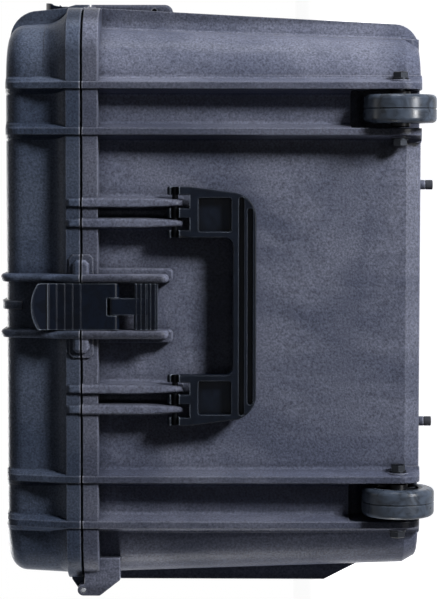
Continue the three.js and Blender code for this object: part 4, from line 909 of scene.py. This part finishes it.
def make_handle(name, side, looks):
    """Fold-down handle: two pocketed arms with fingers round the lugs, and a slotted grip."""
    edge, rim = looks.handle_edge / MM, looks.rim_edge / MM
    inner = -HANDLE_PIN_IN - HANDLE / 2
    outer, top, foot = inner + HANDLE, PARTING - BAR_DROP, GRIP_UP + GRIP
    body = outward(list(reversed(handle_outline())), inner, outer)
    piece = to_piece(name, at_side(soften(body, edge, chosen=lambda p: p.z < top - ON_FACE), side))
    places = tuple(zip(FINGER_PLACES, FINGERS))
    fingers = []
    for middle, width in places:
        for hand in (1, -1):
            finger = across([(inner, top - SINK), (outer, top - SINK),
                             *arc(-HANDLE_PIN_IN, HANDLE_PIN_UP, KNUCKLE, *FINGER_TURNS, HANDLE_ARC)],
                            hand * middle - width / 2, hand * middle + width / 2)
            soften(finger, edge, chosen=lambda p: p.z > top + ON_FACE)
            fingers.append(at_side(finger, side))
    solid_with(piece, fingers, "UNION")
    cuts = [loft([plate_ring(out, -HANDLE_IN, HANDLE_IN, foot, PARTING, HANDLE_INNER_CORNER, grown)
                  for out, grown in ((inner - edge, edge + edge), (inner + edge, 0), (outer - edge, 0),
                                     (outer - edge / 3, edge / 3), (outer + edge, edge + edge))])]
    for hand in (1, -1):
        cuts.append(pocket(hand * (HANDLE_IN + POCKET_IN), hand * (HANDLE_HALF - POCKET_OUT),
                           foot - POCKET_IN + HANDLE_INNER_CORNER, top - BAR, POCKET_CORNER,
                           outer - POCKET, outer, rim))
        for middle, width in places:
            half = width / 2 + NOTCH_OVER
            cuts.append(pocket(hand * middle - half, hand * middle + half, HANDLE_PIN_UP - NOTCH,
                               HANDLE_PIN_UP + NOTCH, NOTCH_CORNER, -HANDLE_PIN_IN, KNUCKLE - HANDLE_PIN_IN,
                               rim / 2))
    for place, short in ((SLOT_PITCH, 2 * SLOT_END), (2 * SLOT_PITCH, SLOT_END)):
        up, half = GRIP_UP + place - SLOT / 2, HANDLE_HALF - short
        cuts.append(pocket(-half, half, up - SLOT / 2, up + SLOT / 2, SLOT / 2 - DRAFT, outer - SLOT_DEEP,
                           outer, rim))
    cuts += [bar(HANDLE_PIN_HOLE, low, high, -HANDLE_PIN_IN, HANDLE_PIN_UP)
             for low, high in both_stretches(HANDLE_IN - SINK, HANDLE_HALF + SINK)]
    return solid_with(piece, [at_side(form, side) for form in cuts], "DIFFERENCE")


def turned(profile, steps):
    """A form turned round the wheel's axle from a closed outline of radius and place along it."""
    form, rows = bmesh.new(), []
    for i in range(steps):
        t = 2 * math.pi * i / steps
        rows.append([form.verts.new((r * math.cos(t), place, r * math.sin(t))) for r, place in profile])
    for i, row in enumerate(rows):
        following = rows[(i + 1) % steps]
        for j in range(len(profile)):
            k = (j + 1) % len(profile)
            form.faces.new((row[j], row[k], following[k], following[j]))
    bmesh.ops.recalc_face_normals(form, faces=form.faces)
    return form


def on_axle(form, hand):
    """Sets a form drawn round its own axle at a wheel's place."""
    turn = Matrix.Rotation(math.pi, 4, "Z") if hand < 0 else Matrix.Identity(4)
    place = Matrix.Translation((-WHEEL_IN, hand * WHEEL_PLACE, WHEEL))
    bmesh.ops.transform(form, verts=form.verts, matrix=place @ turn)
    return at_side(form, SIDES["near"])


def make_tyre(name, hand):
    """Tyre with rounded shoulders and the fine groove of its mould's seam."""
    half, shoulder = TYRE / 2, WHEEL - TYRE_SHOULDER
    outline = [(TYRE_BORE, -half),
               *arc(shoulder, -half + TYRE_SHOULDER, TYRE_SHOULDER, -0.25, 0, SMALL_ARC),
               (WHEEL, -SEAM), (WHEEL - SEAM, -SEAM / 3), (WHEEL - SEAM, SEAM / 3), (WHEEL, SEAM),
               *arc(shoulder, half - TYRE_SHOULDER, TYRE_SHOULDER, 0, 0.25, SMALL_ARC), (TYRE_BORE, half)]
    return to_piece(name, on_axle(turned(outline, TYRE_ROUND), hand))


def make_hub(name, hand, looks):
    """Hub with a rim, a thin web, six spokes on each face and a long boss."""
    seat, rim, end = TYRE_BORE - HUB_SEAT, TYRE / 2 - HUB_SEAT, WELL_HALF - HUB_PLAY
    edge, web = looks.edge / MM, HUB_WEB / 2
    half = [(AXLE + HUB_BORE, end), (HUB_BOSS - edge, end), (HUB_BOSS, end - edge),
            (HUB_BOSS + HUB_DRAFT, web), (HUB_RIM, web), (HUB_RIM + RIM_DRAFT, rim - edge),
            (HUB_RIM + edge, rim), (seat, rim)]
    outline = [(r, -place) for r, place in half] + half[::-1]
    piece = to_piece(name, on_axle(turned(outline, HUB_ROUND), hand))
    spokes, holes = [], []
    for i in range(SPOKES):
        turn = 2 * math.pi / SPOKES
        for low, high in both_stretches(web - SPOKE_SINK, rim - edge)[::-1]:
            spoke = block(HUB_BOSS - SPOKE_SINK, HUB_RIM + SPOKE_SINK, low, high, -SPOKE / 2, SPOKE / 2)
            soften(spoke, SPOKE_EDGE, FINE_STEPS)
            bmesh.ops.transform(spoke, verts=spoke.verts, matrix=Matrix.Rotation(i * turn, 4, "Y"))
            spokes.append(on_axle(spoke, hand))
        hole = bar(HUB_HOLE, -TYRE / 2, TYRE / 2, HUB_HOLE_PLACE, 0)
        bmesh.ops.transform(hole, verts=hole.verts, matrix=Matrix.Rotation((i + 0.5) * turn, 4, "Y"))
        holes.append(on_axle(hole, hand))
    solid_with(piece, spokes, "UNION")
    return solid_with(piece, holes, "DIFFERENCE")


def hexagon(radius, low, high, edge):
    """A hexagon nut's body with turned chamfers at both ends."""
    levels = ((low, radius - edge), (low + edge / 2, radius), (high - edge / 2, radius),
              (high, radius - edge))
    return loft([[(a, place, b) for a, b in circle(0, 0, r, FLATS)] for place, r in levels])


def washer(low):
    """The round flange of a bolt's head or a nut."""
    return soften(bar(HEAD, low, low + WASHER, 0, 0, FINE_ROUND), WASHER_EDGE, FINE_STEPS)


def make_bolt(name, hand):
    """Flanged hexagon head and a shank through the fork to the nut."""
    head, end = FORK_OUT - WHEEL_PLACE + SEAT, FORK_IN - WHEEL_PLACE - HEAD_WIDE
    body = hexagon(HEAD - BOLT_FLAT_IN, head + WASHER / 2, head + HEAD_WIDE, BOLT_CHAMFER)
    shank = soften(bar(AXLE, end, head + WASHER, 0, 0, FINE_ROUND), SHANK_EDGE, FINE_STEPS)
    return solid_with(to_piece(name, on_axle(body, hand)),
                      [on_axle(form, hand) for form in (washer(head), shank)], "UNION")


def make_nut(name, hand):
    """Flanged hexagon nut on the inside of the fork."""
    seat = FORK_IN - WHEEL_PLACE - SEAT
    body = hexagon(HEAD - NUT_FLAT_IN, seat - HEAD_WIDE, seat - WASHER / 2, NUT_CHAMFER)
    piece = to_piece(name, on_axle(body, hand))
    solid_with(piece, [on_axle(washer(seat - WASHER), hand)], "UNION")
    bore = bar(AXLE_HOLE, seat - HEAD_WIDE - SINK, seat + SINK, 0, 0, FINE_ROUND)
    return solid_with(piece, [on_axle(bore, hand)], "DIFFERENCE")


def rounded_copy(name, width):
    """A solid's own shape with its edges rounded."""
    mesh = frame["nodes"][name].data.copy()
    mesh.name = name + "_rounded"
    piece = bpy.data.objects.new(name + "_rounded", mesh)
    bpy.context.scene.collection.objects.link(piece)
    form = bmesh.new()
    form.from_mesh(mesh)
    bmesh.ops.remove_doubles(form, verts=form.verts, dist=SAME_IN_COPY * MM)
    bmesh.ops.dissolve_limit(form, angle_limit=math.radians(FLAT_ANGLE), verts=form.verts, edges=form.edges)
    soften(form, width, angle=SHARP_MESH)
    form.to_mesh(mesh)
    form.free()
    return piece


class ShellLooks(bpy.types.PropertyGroup):
    base_colour: colour("Base colour", "Plastic of the base shell", "#585D70")
    base_flow: colour("Base flow colour", "Paler flow marks in the base", "#737789")
    lid_colour: colour("Lid colour", "Plastic of the lid", "#424C60")
    lid_flow: colour("Lid flow colour", "Paler flow marks in the lid", "#545D70")
    # Paler proud edges of both shells, painted highlight with scuffs, take this colour.
    shell_edge_highlight_and_scuff_colour: colour("Worn edge colour", "Rubbed edges of both shells", "#B4B7C6")
    grain: length("Grain", "Size of one pebble of the moulded grain", 2.2)
    flow: length("Flow marks", "Length of one flow mark", 210)
    # How far the painted shade in corners reaches.
    painted_corner_shade: length("Recess", "How far from a corner grime is seen", 16)
    # Width and strength of these paler edges, painted highlight with scuffs.
    shell_edge_highlight_and_scuff_width: length("Rubbed width", "Width of the rubbed line along an edge", 2.2)
    edge_highlight_and_scuff_share: setting("Wear", "How far the proud edges are rubbed", 0.6)
    edge: length("Edge rounding", "Rounded edges of the flanges and hinges", 1.0)
    rib_edge: length("Rib rounding", "Rounded crowns of the ribs", 1.2)
    guard_edge: length("Guard rounding", "Rounded backs of the latch guards and lugs", 4.0)


class StageLooks(bpy.types.PropertyGroup):
    floor_colour: colour("Floor colour", "Colour of the floor", "#F7F7F8")
    key: power("Main light", "Strength of the main light", 92)
    fill: setting("Fill light", "Strength of the even light all round", 0.01)
    above: power("Light from above", "Strength of the light from above and behind", 60)
    front: power("Front side light", "Strength of the light from the latch side", 30)
    gleam: power("Edge gleam", "Strength of the light seen only as shine", 80)
    side: power("Side light", "Strength of the light from the hinge side", 28)
    lid_side: power("Lid side light", "Strength of the light along the end from the lid's side", 4)
    glow: setting("Floor brightness", "How bright the floor is without light", 0.95)


class MouldLooks(bpy.types.PropertyGroup):
    latch_colour: colour("Latch colour", "Nylon of the latches", "#08101E")
    handle_colour: colour("Handle colour", "Nylon of the handles", "#0E141F")
    hub_colour: colour("Hub colour", "Nylon of the hubs", "#14161B")
    tyre_colour: colour("Tyre colour", "Polyurethane of the tyres", "#3F4856")
    rubber_colour: colour("Seal colour", "Rubber of the seal", "#15161A")
    tip_colour: colour("Foot tip colour", "Rubber of the foot tips", "#43454C")
    steel_colour: colour("Steel colour", "Steel of the hinge pins", "#8B8E93")
    dark_steel_colour: colour("Dark steel colour", "Steel of the axle bolts and nuts", "#202226")
    pin_colour: colour("Pin colour", "Steel of the latch and handle pins", "#0B0C0E")
    # Paler edges of nylon and tyres, painted highlight with scuffs, take this colour.
    edge_highlight_and_scuff_colour: colour("Rubbed edge colour", "Rubbed edges of nylon and tyres", "#8E98A8")
    latch_roughness: setting("Latch roughness", "How matt the latches are", 0.28)
    handle_roughness: setting("Handle roughness", "How matt the handles are", 0.4)
    nylon_specular: setting("Nylon shine", "Strength of the reflections on latches, handles and hubs", 0.06)
    tyre_specular: setting("Tyre shine", "Strength of the tyres' reflections", 0.16)
    edge: length("Edge rounding", "Rounded outer edges of latches", 1.0)
    fine_edge: length("Fine edge rounding", "Rounded edges of ridges and links", 0.4)
    rim_edge: length("Rim rounding", "Rounded rims of the handles' pockets and slots", 0.8)
    handle_edge: length("Handle edge rounding", "Rounded edges of the handles", 1.5)


def polypropylene(name, body_colour, flow_colour, looks):
    """Polypropylene, injection moulded against an etched tool.

    The etching gives a pebbled grain that takes the shine away. The melt leaves pale clouds and streaks along
    its flow. Corners are painted darker as painted shade, and proud edges paler as painted highlight with
    scuffs. The outermost faces are painted darker as painted shade, with a narrow painted highlight on the
    lugs' crowns.
    """
    material, tree, place = new_material(name)
    swirl = add(tree, "ShaderNodeTexNoise", {}, {
        "Vector": place, "Scale": 1 / looks.flow, "Detail": 3.0, "Roughness": 0.5,
        "Distortion": 2.2}).outputs["Fac"]
    lines = add(tree, "ShaderNodeMapping", {}, {
        "Vector": place, "Rotation": (0.0, 0.2, 0.0), "Scale": (1.0, 0.3, 0.12)}).outputs[0]
    streak = add(tree, "ShaderNodeTexNoise", {}, {
        "Vector": lines, "Scale": STREAKS / looks.flow, "Detail": 3.0, "Roughness": 0.6,
        "Distortion": 1.2}).outputs["Fac"]
    marks = add(tree, "ShaderNodeMix", {"data_type": "FLOAT"}, {
        "Factor": STREAK_SHARE, 2: swirl, 3: streak}).outputs[0]
    mark = add(tree, "ShaderNodeMapRange", {"interpolation_type": "SMOOTHSTEP"}, {
        "Value": marks, "From Min": 0.34, "From Max": 0.66, "To Min": 0.0, "To Max": 1.0}).outputs["Result"]
    tone = add(tree, "ShaderNodeMix", {"data_type": "RGBA"}, {
        "Factor": mark, 6: rgba(body_colour), 7: rgba(flow_colour)}).outputs[2]
    pebble = add(tree, "ShaderNodeTexNoise", {}, {
        "Vector": place, "Scale": 1 / looks.grain, "Detail": 3.0, "Roughness": 0.65}).outputs["Fac"]
    speck = add(tree, "ShaderNodeMapRange", {}, {
        "Value": pebble, "From Min": 0.32, "From Max": 0.68, "To Min": 0.58,
        "To Max": 1.42}).outputs["Result"]
    centred = add(tree, "ShaderNodeVectorMath", {"operation": "SUBTRACT"}, {
        0: place, 1: tuple(MIDDLE)}).outputs[0]
    apart = add(tree, "ShaderNodeVectorMath", {"operation": "ABSOLUTE"}, {0: centred}).outputs[0]
    axes = add(tree, "ShaderNodeSeparateXYZ", {}, {0: apart}).outputs
    # Painted shade and highlight by how far a face stands out from the case's middle.
    proud = [add(tree, "ShaderNodeMapRange", {}, {
        "Value": axes[axis], "From Min": near * MM, "From Max": far * MM, "To Min": 1.0,
        "To Max": share}).outputs["Result"] for axis, near, far, share in PROUD]
    # The tone with its grain, painted shade in corners, and the painted shade and highlight of proud faces.
    grain_and_painted_light = toned(tree, tone, speck, painted_corner_shade(tree, looks.painted_corner_shade), *proud)
    # Proud edges painted paler: painted highlight with scuffs.
    skin = add(tree, "ShaderNodeBsdfPrincipled", {}, {
        "Base Color": paint_edge_highlight_and_scuff(tree, grain_and_painted_light, looks.shell_edge_highlight_and_scuff_colour, looks.shell_edge_highlight_and_scuff_width, looks.edge_highlight_and_scuff_share),
        "Roughness": 0.3, "IOR": 1.49, "Specular IOR Level": 0.05,
        "Normal": relief(tree, SHELL_BEVEL, pebble, 0.7, PEBBLE_HIGH)})
    add(tree, "ShaderNodeOutputMaterial", {}, {0: skin.outputs[0]})
    return material


def moulded(name, body_colour, edge_colour, roughness, grain, height, specular=0.08, mottle=0.2, rubbed=1.3):
    """Nylon, rubber or polyurethane from a mould.

    It has one even colour under a fine skin, faint clouds from the melt, paler proud edges that are painted
    highlight with scuffs, and darker corners that are painted shade.
    """
    material, tree, place = new_material(name)
    fine = add(tree, "ShaderNodeTexNoise", {}, {
        "Vector": place, "Scale": 1 / (grain * MM), "Detail": 3.0, "Roughness": 0.55}).outputs["Fac"]
    cloud = add(tree, "ShaderNodeTexNoise", {}, {
        "Vector": place, "Scale": 1 / CLOUD, "Detail": 3.0, "Distortion": 1.4}).outputs["Fac"]
    shade = add(tree, "ShaderNodeMapRange", {}, {
        "Value": cloud, "From Min": 0.35, "From Max": 0.65, "To Min": 1 - mottle,
        "To Max": 1 + mottle}).outputs["Result"]
    rough = add(tree, "ShaderNodeMapRange", {}, {
        "Value": cloud, "From Min": 0.3, "From Max": 0.7, "To Min": roughness * 0.8,
        "To Max": roughness * 1.2}).outputs["Result"]
    # Random clouds in the tone, and painted shade in corners and slots.
    tone = toned(tree, rgba(body_colour), shade, painted_corner_shade(tree, CORNER_SHADE_REACH))
    # Proud edges painted paler over the rubbed width: painted highlight with scuffs.
    skin = add(tree, "ShaderNodeBsdfPrincipled", {}, {
        "Base Color": paint_edge_highlight_and_scuff(tree, tone, edge_colour, rubbed * MM, 0.8), "Roughness": rough,
        "IOR": 1.53, "Specular IOR Level": specular,
        "Normal": relief(tree, SMALL_BEVEL, fine, 0.5, height * MM)})
    add(tree, "ShaderNodeOutputMaterial", {}, {0: skin.outputs[0]})
    return material


def metal(name, body_colour, roughness):
    """Steel with the fine scratches of drawing or rolling, which spread its shine.

    Real scratches are too fine to show here, so they are drawn as coarse as they need to be.
    """
    material, tree, place = new_material(name)
    scratch = add(tree, "ShaderNodeTexNoise", {}, {
        "Vector": place, "Scale": 1 / SCRATCH, "Detail": 4.0, "Roughness": 0.7}).outputs["Fac"]
    rough = add(tree, "ShaderNodeMapRange", {}, {
        "Value": scratch, "From Min": 0.3, "From Max": 0.7, "To Min": roughness * 0.7,
        "To Max": roughness * 1.3}).outputs["Result"]
    shade = add(tree, "ShaderNodeMapRange", {}, {
        "Value": scratch, "From Min": 0.3, "From Max": 0.7, "To Min": 0.8, "To Max": 1.2}).outputs["Result"]
    bevel = add(tree, "ShaderNodeBevel", {"samples": BEVEL_RAYS}, {"Radius": SMALL_BEVEL}).outputs["Normal"]
    skin = add(tree, "ShaderNodeBsdfPrincipled", {}, {
        "Base Color": toned(tree, rgba(body_colour), shade), "Metallic": 1.0, "Roughness": rough,
        "Normal": bevel})
    add(tree, "ShaderNodeOutputMaterial", {}, {0: skin.outputs[0]})
    return material


class CASE_OT_stage(bpy.types.Operator):
    """Floor, lights, surroundings and camera"""
    bl_idname = "case.stage"
    bl_label = "Stage"

    def execute(self, context):
        looks, scene = context.scene.stage_looks, context.scene
        scene.view_settings.view_transform = "Standard"
        lay_floor(looks)
        set_surroundings(scene, looks)
        for name, field, place, aim, width in LAMPS:
            light = lamp(name, place, aim, width, getattr(looks, field))
            light.visible_diffuse = field != "gleam"
        set_camera(scene)
        return {"FINISHED"}


# Each lamp's name, its strength among the looks, its place, what it is aimed at, and its width, in metres.
# The photograph stands on its side, so much of its light comes from the case's underside. The gleam is seen
# only as shine.
LAMPS = (
    ("main_light", "key", (1.55, -1.75, -1.70), (0, -0.38, 0.22), 0.7),
    ("light_from_hinge_side", "side", (-2.6, -0.30, 0.25), (0, -0.30, 0.22), 0.5),
    ("light_from_front_side", "front", (2.7, -0.45, 0.25), (0, -0.36, 0.22), 0.6),
    ("gleam_from_floor_side", "gleam", (0.20, -2.1, -1.75), (0, -0.38, 0.22), 0.4),
    ("light_from_lid_side", "lid_side", (0.1, -0.44, 2.7), (0, -0.36, 0.40), 0.4),
    ("light_from_above", "above", (-0.6, 2.0, 2.2), (0, 0, 0.3), 1.6),
)
FLOOR_REACH = 6.0


def lay_floor(looks):
    """A smooth painted floor, which is seen white and takes the case's soft shadow.

    The lamps below it shine through, and it throws no light of its own on the case.
    """
    mesh = bpy.data.meshes.new("floor")
    corners = [(x * FLOOR_REACH, y * FLOOR_REACH, 0) for x, y in ((-1, -1), (1, -1), (1, 1), (-1, 1))]
    mesh.from_pydata(corners, [], [(0, 1, 2, 3)])
    floor = bpy.data.objects.new("floor", mesh)
    bpy.context.scene.collection.objects.link(floor)
    floor.visible_shadow = floor.visible_diffuse = False
    material, tree, _ = new_material("painted_studio_floor")
    strength = add(tree, "ShaderNodeMath", {"operation": "MULTIPLY"}, {
        0: background_seen(tree), 1: looks.glow}).outputs[0]
    lit = add(tree, "ShaderNodeBsdfDiffuse", {}, {"Color": rgba(looks.floor_colour)})
    glow = add(tree, "ShaderNodeEmission", {}, {"Color": (1, 1, 1, 1), "Strength": strength})
    together = add(tree, "ShaderNodeAddShader", {}, {0: lit.outputs[0], 1: glow.outputs[0]})
    add(tree, "ShaderNodeOutputMaterial", {}, {0: together.outputs[0]})
    mesh.materials.append(material)


def set_surroundings(scene, looks):
    """White where it is looked at, and an even, faint light all round."""
    world = bpy.data.worlds.new("surroundings")
    scene.world = world
    world.use_nodes = True
    tree = world.node_tree
    tree.nodes.clear()
    strength = add(tree, "ShaderNodeMapRange", {}, {
        "Value": background_seen(tree), "From Min": 0.0, "From Max": 1.0, "To Min": looks.fill,
        "To Max": 1.0}).outputs["Result"]
    background = add(tree, "ShaderNodeBackground", {}, {"Color": (1, 1, 1, 1), "Strength": strength})
    add(tree, "ShaderNodeOutputWorld", {}, {0: background.outputs[0]})


def lamp(name, place, aim, width, strength):
    """A round soft light."""
    light = bpy.data.lights.new(name, "AREA")
    light.shape = "DISK"
    light.size, light.energy = width, strength
    thing = bpy.data.objects.new(name, light)
    bpy.context.scene.collection.objects.link(thing)
    thing.location = place
    thing.rotation_euler = (Vector(aim) - Vector(place)).to_track_quat("-Z", "Y").to_euler()
    return thing


def set_camera(scene):
    """Looks at the wheeled end with the lid to the left, as the photograph does."""
    # The focal length and the depth axis's offset on the picture are in the photograph's pixels.
    focal, vanish_right, vanish_up = 2200.0, 25.0, 139.5
    roll, place = math.radians(-0.1), Vector((0.140, -2.600, 0.194))
    start = Matrix(((0, 0, -1), (1, 0, 0), (0, 1, 0)))
    depth_axis = Vector((vanish_right / focal, vanish_up / focal, 1)).normalized()
    lean = Vector((0, 0, 1)).rotation_difference(depth_axis).to_matrix()
    rows = Matrix.Rotation(roll, 3, "Z") @ lean @ start
    data = bpy.data.cameras.new("camera")
    data.sensor_width = SENSOR
    data.lens = SENSOR * focal / PHOTO_HEIGHT
    camera = bpy.data.objects.new("camera", data)
    scene.collection.objects.link(camera)
    turn = Matrix((rows[0], rows[1], -rows[2])).transposed()
    camera.matrix_world = Matrix.Translation(place) @ turn.to_4x4()
    scene.camera = camera


class CASE_OT_base(bpy.types.Operator):
    """Base shell with its flange, ribs, lugs, hinge webs and wheel wells"""
    bl_idname = "case.base"
    bl_label = "Base shell"

    def execute(self, context):
        looks = context.scene.shell_looks
        plastic = polypropylene("grained_polypropylene_base", looks.base_colour, looks.base_flow, looks)
        hand_in(make_base(looks), plastic, "base", "base_plastic", "base_shell")
        return {"FINISHED"}


class CASE_OT_lid(bpy.types.Operator):
    """Lid shell with its flange, ribs and hinge webs, and the rubber seal in its groove"""
    bl_idname = "case.lid"
    bl_label = "Lid shell"

    def execute(self, context):
        looks, mould = context.scene.shell_looks, context.scene.mould_looks
        plastic = polypropylene("grained_polypropylene_lid", looks.lid_colour, looks.lid_flow, looks)
        hand_in(make_lid(looks), plastic, "lid", "lid_plastic", "lid_shell")
        # EPDM rubber, extruded as a soft cord: an even black that hardly shines.
        rubber = moulded("extruded_epdm_seal", mould.rubber_colour, mould.rubber_colour, roughness=0.7,
                         grain=0.8, height=0.05)
        hand_in(rounded_copy("lid_seal", SEAL_EDGE), rubber, "lid", "seal_rubber", "lid_seal")
        return {"FINISHED"}


class CASE_OT_latches(bpy.types.Operator):
    """Four draw latches, each a lever and a link on steel pins"""
    bl_idname = "case.latches"
    bl_label = "Latches"

    def execute(self, context):
        looks = context.scene.mould_looks
        # Nylon with glass fibre, moulded against polished steel: near black, with a cold sheen.
        nylon = moulded("glass_filled_nylon_latch", looks.latch_colour, looks.edge_highlight_and_scuff_colour,
                        roughness=looks.latch_roughness, grain=0.6, height=0.03,
                        specular=looks.nylon_specular)
        # Blackened steel: dull dark ends that catch no light.
        steel = metal("blackened_steel_latch_pins", looks.pin_colour, PIN_ROUGHNESS)
        for name, side, along in STATIONS:
            for make, part in ((make_lever, "lever"), (make_link, "link")):
                node = f"{name}_latch_{part}"
                piece = make(node + "_moulding", SIDES[side], along, looks)
                hand_in(piece, nylon, f"{name}_{part}", "latch_plastic", node)
            for pin, body in ((f"{name}_lever_pin", f"{name}_link"), (f"{name}_link_pin", "base")):
                hand_in(rounded_copy(pin, PIN_EDGE), steel, body, "dark_steel", pin)
        return {"FINISHED"}


class CASE_OT_handles(bpy.types.Operator):
    """Three fold-down handles on steel pins"""
    bl_idname = "case.handles"
    bl_label = "Handles"

    def execute(self, context):
        looks = context.scene.mould_looks
        # The same nylon from a mould with a fine grain: more matt than the latches, with paler edges that are
        # painted highlight with scuffs from hands.
        nylon = moulded("glass_filled_nylon_handle", looks.handle_colour, looks.edge_highlight_and_scuff_colour,
                        roughness=looks.handle_roughness, grain=0.9, height=0.05,
                        specular=looks.nylon_specular, rubbed=1.6)
        # Blackened steel, as in the latches.
        steel = metal("blackened_steel_handle_pins", looks.pin_colour, PIN_ROUGHNESS)
        for name in HANDLE_SIDES:
            handle = f"{name}_handle"
            piece = make_handle(handle + "_moulding", SIDES[name], looks)
            hand_in(piece, nylon, handle, "handle_plastic", handle)
            for pin in (handle + "_pin_left", handle + "_pin_right"):
                hand_in(rounded_copy(pin, PIN_EDGE), steel, "base", "dark_steel", pin)
        return {"FINISHED"}


class CASE_OT_hinges(bpy.types.Operator):
    """Three steel pins through the hinge webs"""
    bl_idname = "case.hinges"
    bl_label = "Hinge pins"

    def execute(self, context):
        # Stainless steel, drawn to size: bright and smooth.
        steel = metal("drawn_stainless_steel_hinge_pins", context.scene.mould_looks.steel_colour, 0.3)
        for pin in ("hinge_pin_near", "hinge_pin_middle", "hinge_pin_far"):
            hand_in(rounded_copy(pin, HINGE_PIN_EDGE), steel, "base", "pin_steel", pin)
        return {"FINISHED"}


class CASE_OT_wheels(bpy.types.Operator):
    """Two wheels, each a tyre on a spoked hub, with its axle bolt and nut"""
    bl_idname = "case.wheels"
    bl_label = "Wheels"

    def execute(self, context):
        looks, shell = context.scene.mould_looks, context.scene.shell_looks
        # Polyurethane, cast round the hub: cloudy grey with a soft shine, and paler shoulders that are
        # painted highlight with scuffs.
        cast = moulded("cast_polyurethane_tyre", looks.tyre_colour, looks.edge_highlight_and_scuff_colour, roughness=0.3,
                       grain=1.2, height=0.1, specular=looks.tyre_specular, mottle=0.45, rubbed=2.0)
        # Nylon, moulded: near black and a little glossy.
        nylon = moulded("moulded_nylon_hub", looks.hub_colour, looks.edge_highlight_and_scuff_colour, roughness=0.35, grain=0.8,
                        height=0.04, specular=looks.nylon_specular)
        # Steel, blackened after forging: dark, with a faint shine on its flats.
        steel = metal("blackened_steel", looks.dark_steel_colour, 0.4)
        for name, hand in (("left", -1), ("right", 1)):
            wheel = f"{name}_wheel"
            hand_in(make_tyre(f"{name}_tyre_casting", hand), cast, wheel, "tyre", f"{name}_tyre")
            hand_in(make_hub(f"{name}_hub_moulding", hand, shell), nylon, wheel, "hub_plastic", f"{name}_hub")
            hand_in(make_bolt(f"{name}_flanged_bolt", hand), steel, "base", "dark_steel", f"{name}_axle_bolt")
            hand_in(make_nut(f"{name}_flanged_nut", hand), steel, "base", "dark_steel", f"{name}_axle_nut")
        return {"FINISHED"}


class CASE_OT_feet(bpy.types.Operator):
    """Rubber tips in the four moulded feet"""
    bl_idname = "case.feet"
    bl_label = "Feet"

    def execute(self, context):
        looks = context.scene.mould_looks
        # Rubber, moulded: dark grey without shine.
        rubber = moulded("moulded_rubber_tip", looks.tip_colour, looks.tip_colour, roughness=0.7, grain=0.8,
                         height=0.05)
        for tip in [name for name in frame["nodes"] if name.endswith("_foot_tip")]:
            hand_in(rounded_copy(tip, TIP_EDGE), rubber, "base", "seal_rubber", tip)
        return {"FINISHED"}


class CASE_PT_panel(bpy.types.Panel):
    bl_idname = "CASE_PT_panel"
    bl_label = "Transport case"
    bl_space_type = "VIEW_3D"
    bl_region_type = "UI"
    bl_category = "Case"

    def draw(self, context):
        for operator in OPERATORS:
            self.layout.operator(operator.bl_idname)
        for group in LOOKS:
            for field in LOOKS[group].__annotations__:
                self.layout.prop(getattr(context.scene, group), field)


OPERATORS = (CASE_OT_stage, CASE_OT_base, CASE_OT_lid, CASE_OT_latches, CASE_OT_handles, CASE_OT_hinges,
             CASE_OT_wheels, CASE_OT_feet)
LOOKS = {"shell_looks": ShellLooks, "stage_looks": StageLooks, "mould_looks": MouldLooks}


def register():
    for group in LOOKS:
        bpy.utils.register_class(LOOKS[group])
        setattr(bpy.types.Scene, group, PointerProperty(type=LOOKS[group]))
    for operator in OPERATORS:
        bpy.utils.register_class(operator)
    bpy.utils.register_class(CASE_PT_panel)


def unregister():
    bpy.utils.unregister_class(CASE_PT_panel)
    for operator in reversed(OPERATORS):
        bpy.utils.unregister_class(operator)
    for group in LOOKS:
        delattr(bpy.types.Scene, group)
        bpy.utils.unregister_class(LOOKS[group])


def main():
    register()
    bpy.ops.case.stage()
    bpy.ops.case.base()
    bpy.ops.case.lid()
    bpy.ops.case.latches()
    bpy.ops.case.handles()
    bpy.ops.case.hinges()
    bpy.ops.case.wheels()
    bpy.ops.case.feet()


if __name__ == "__main__":
    main()
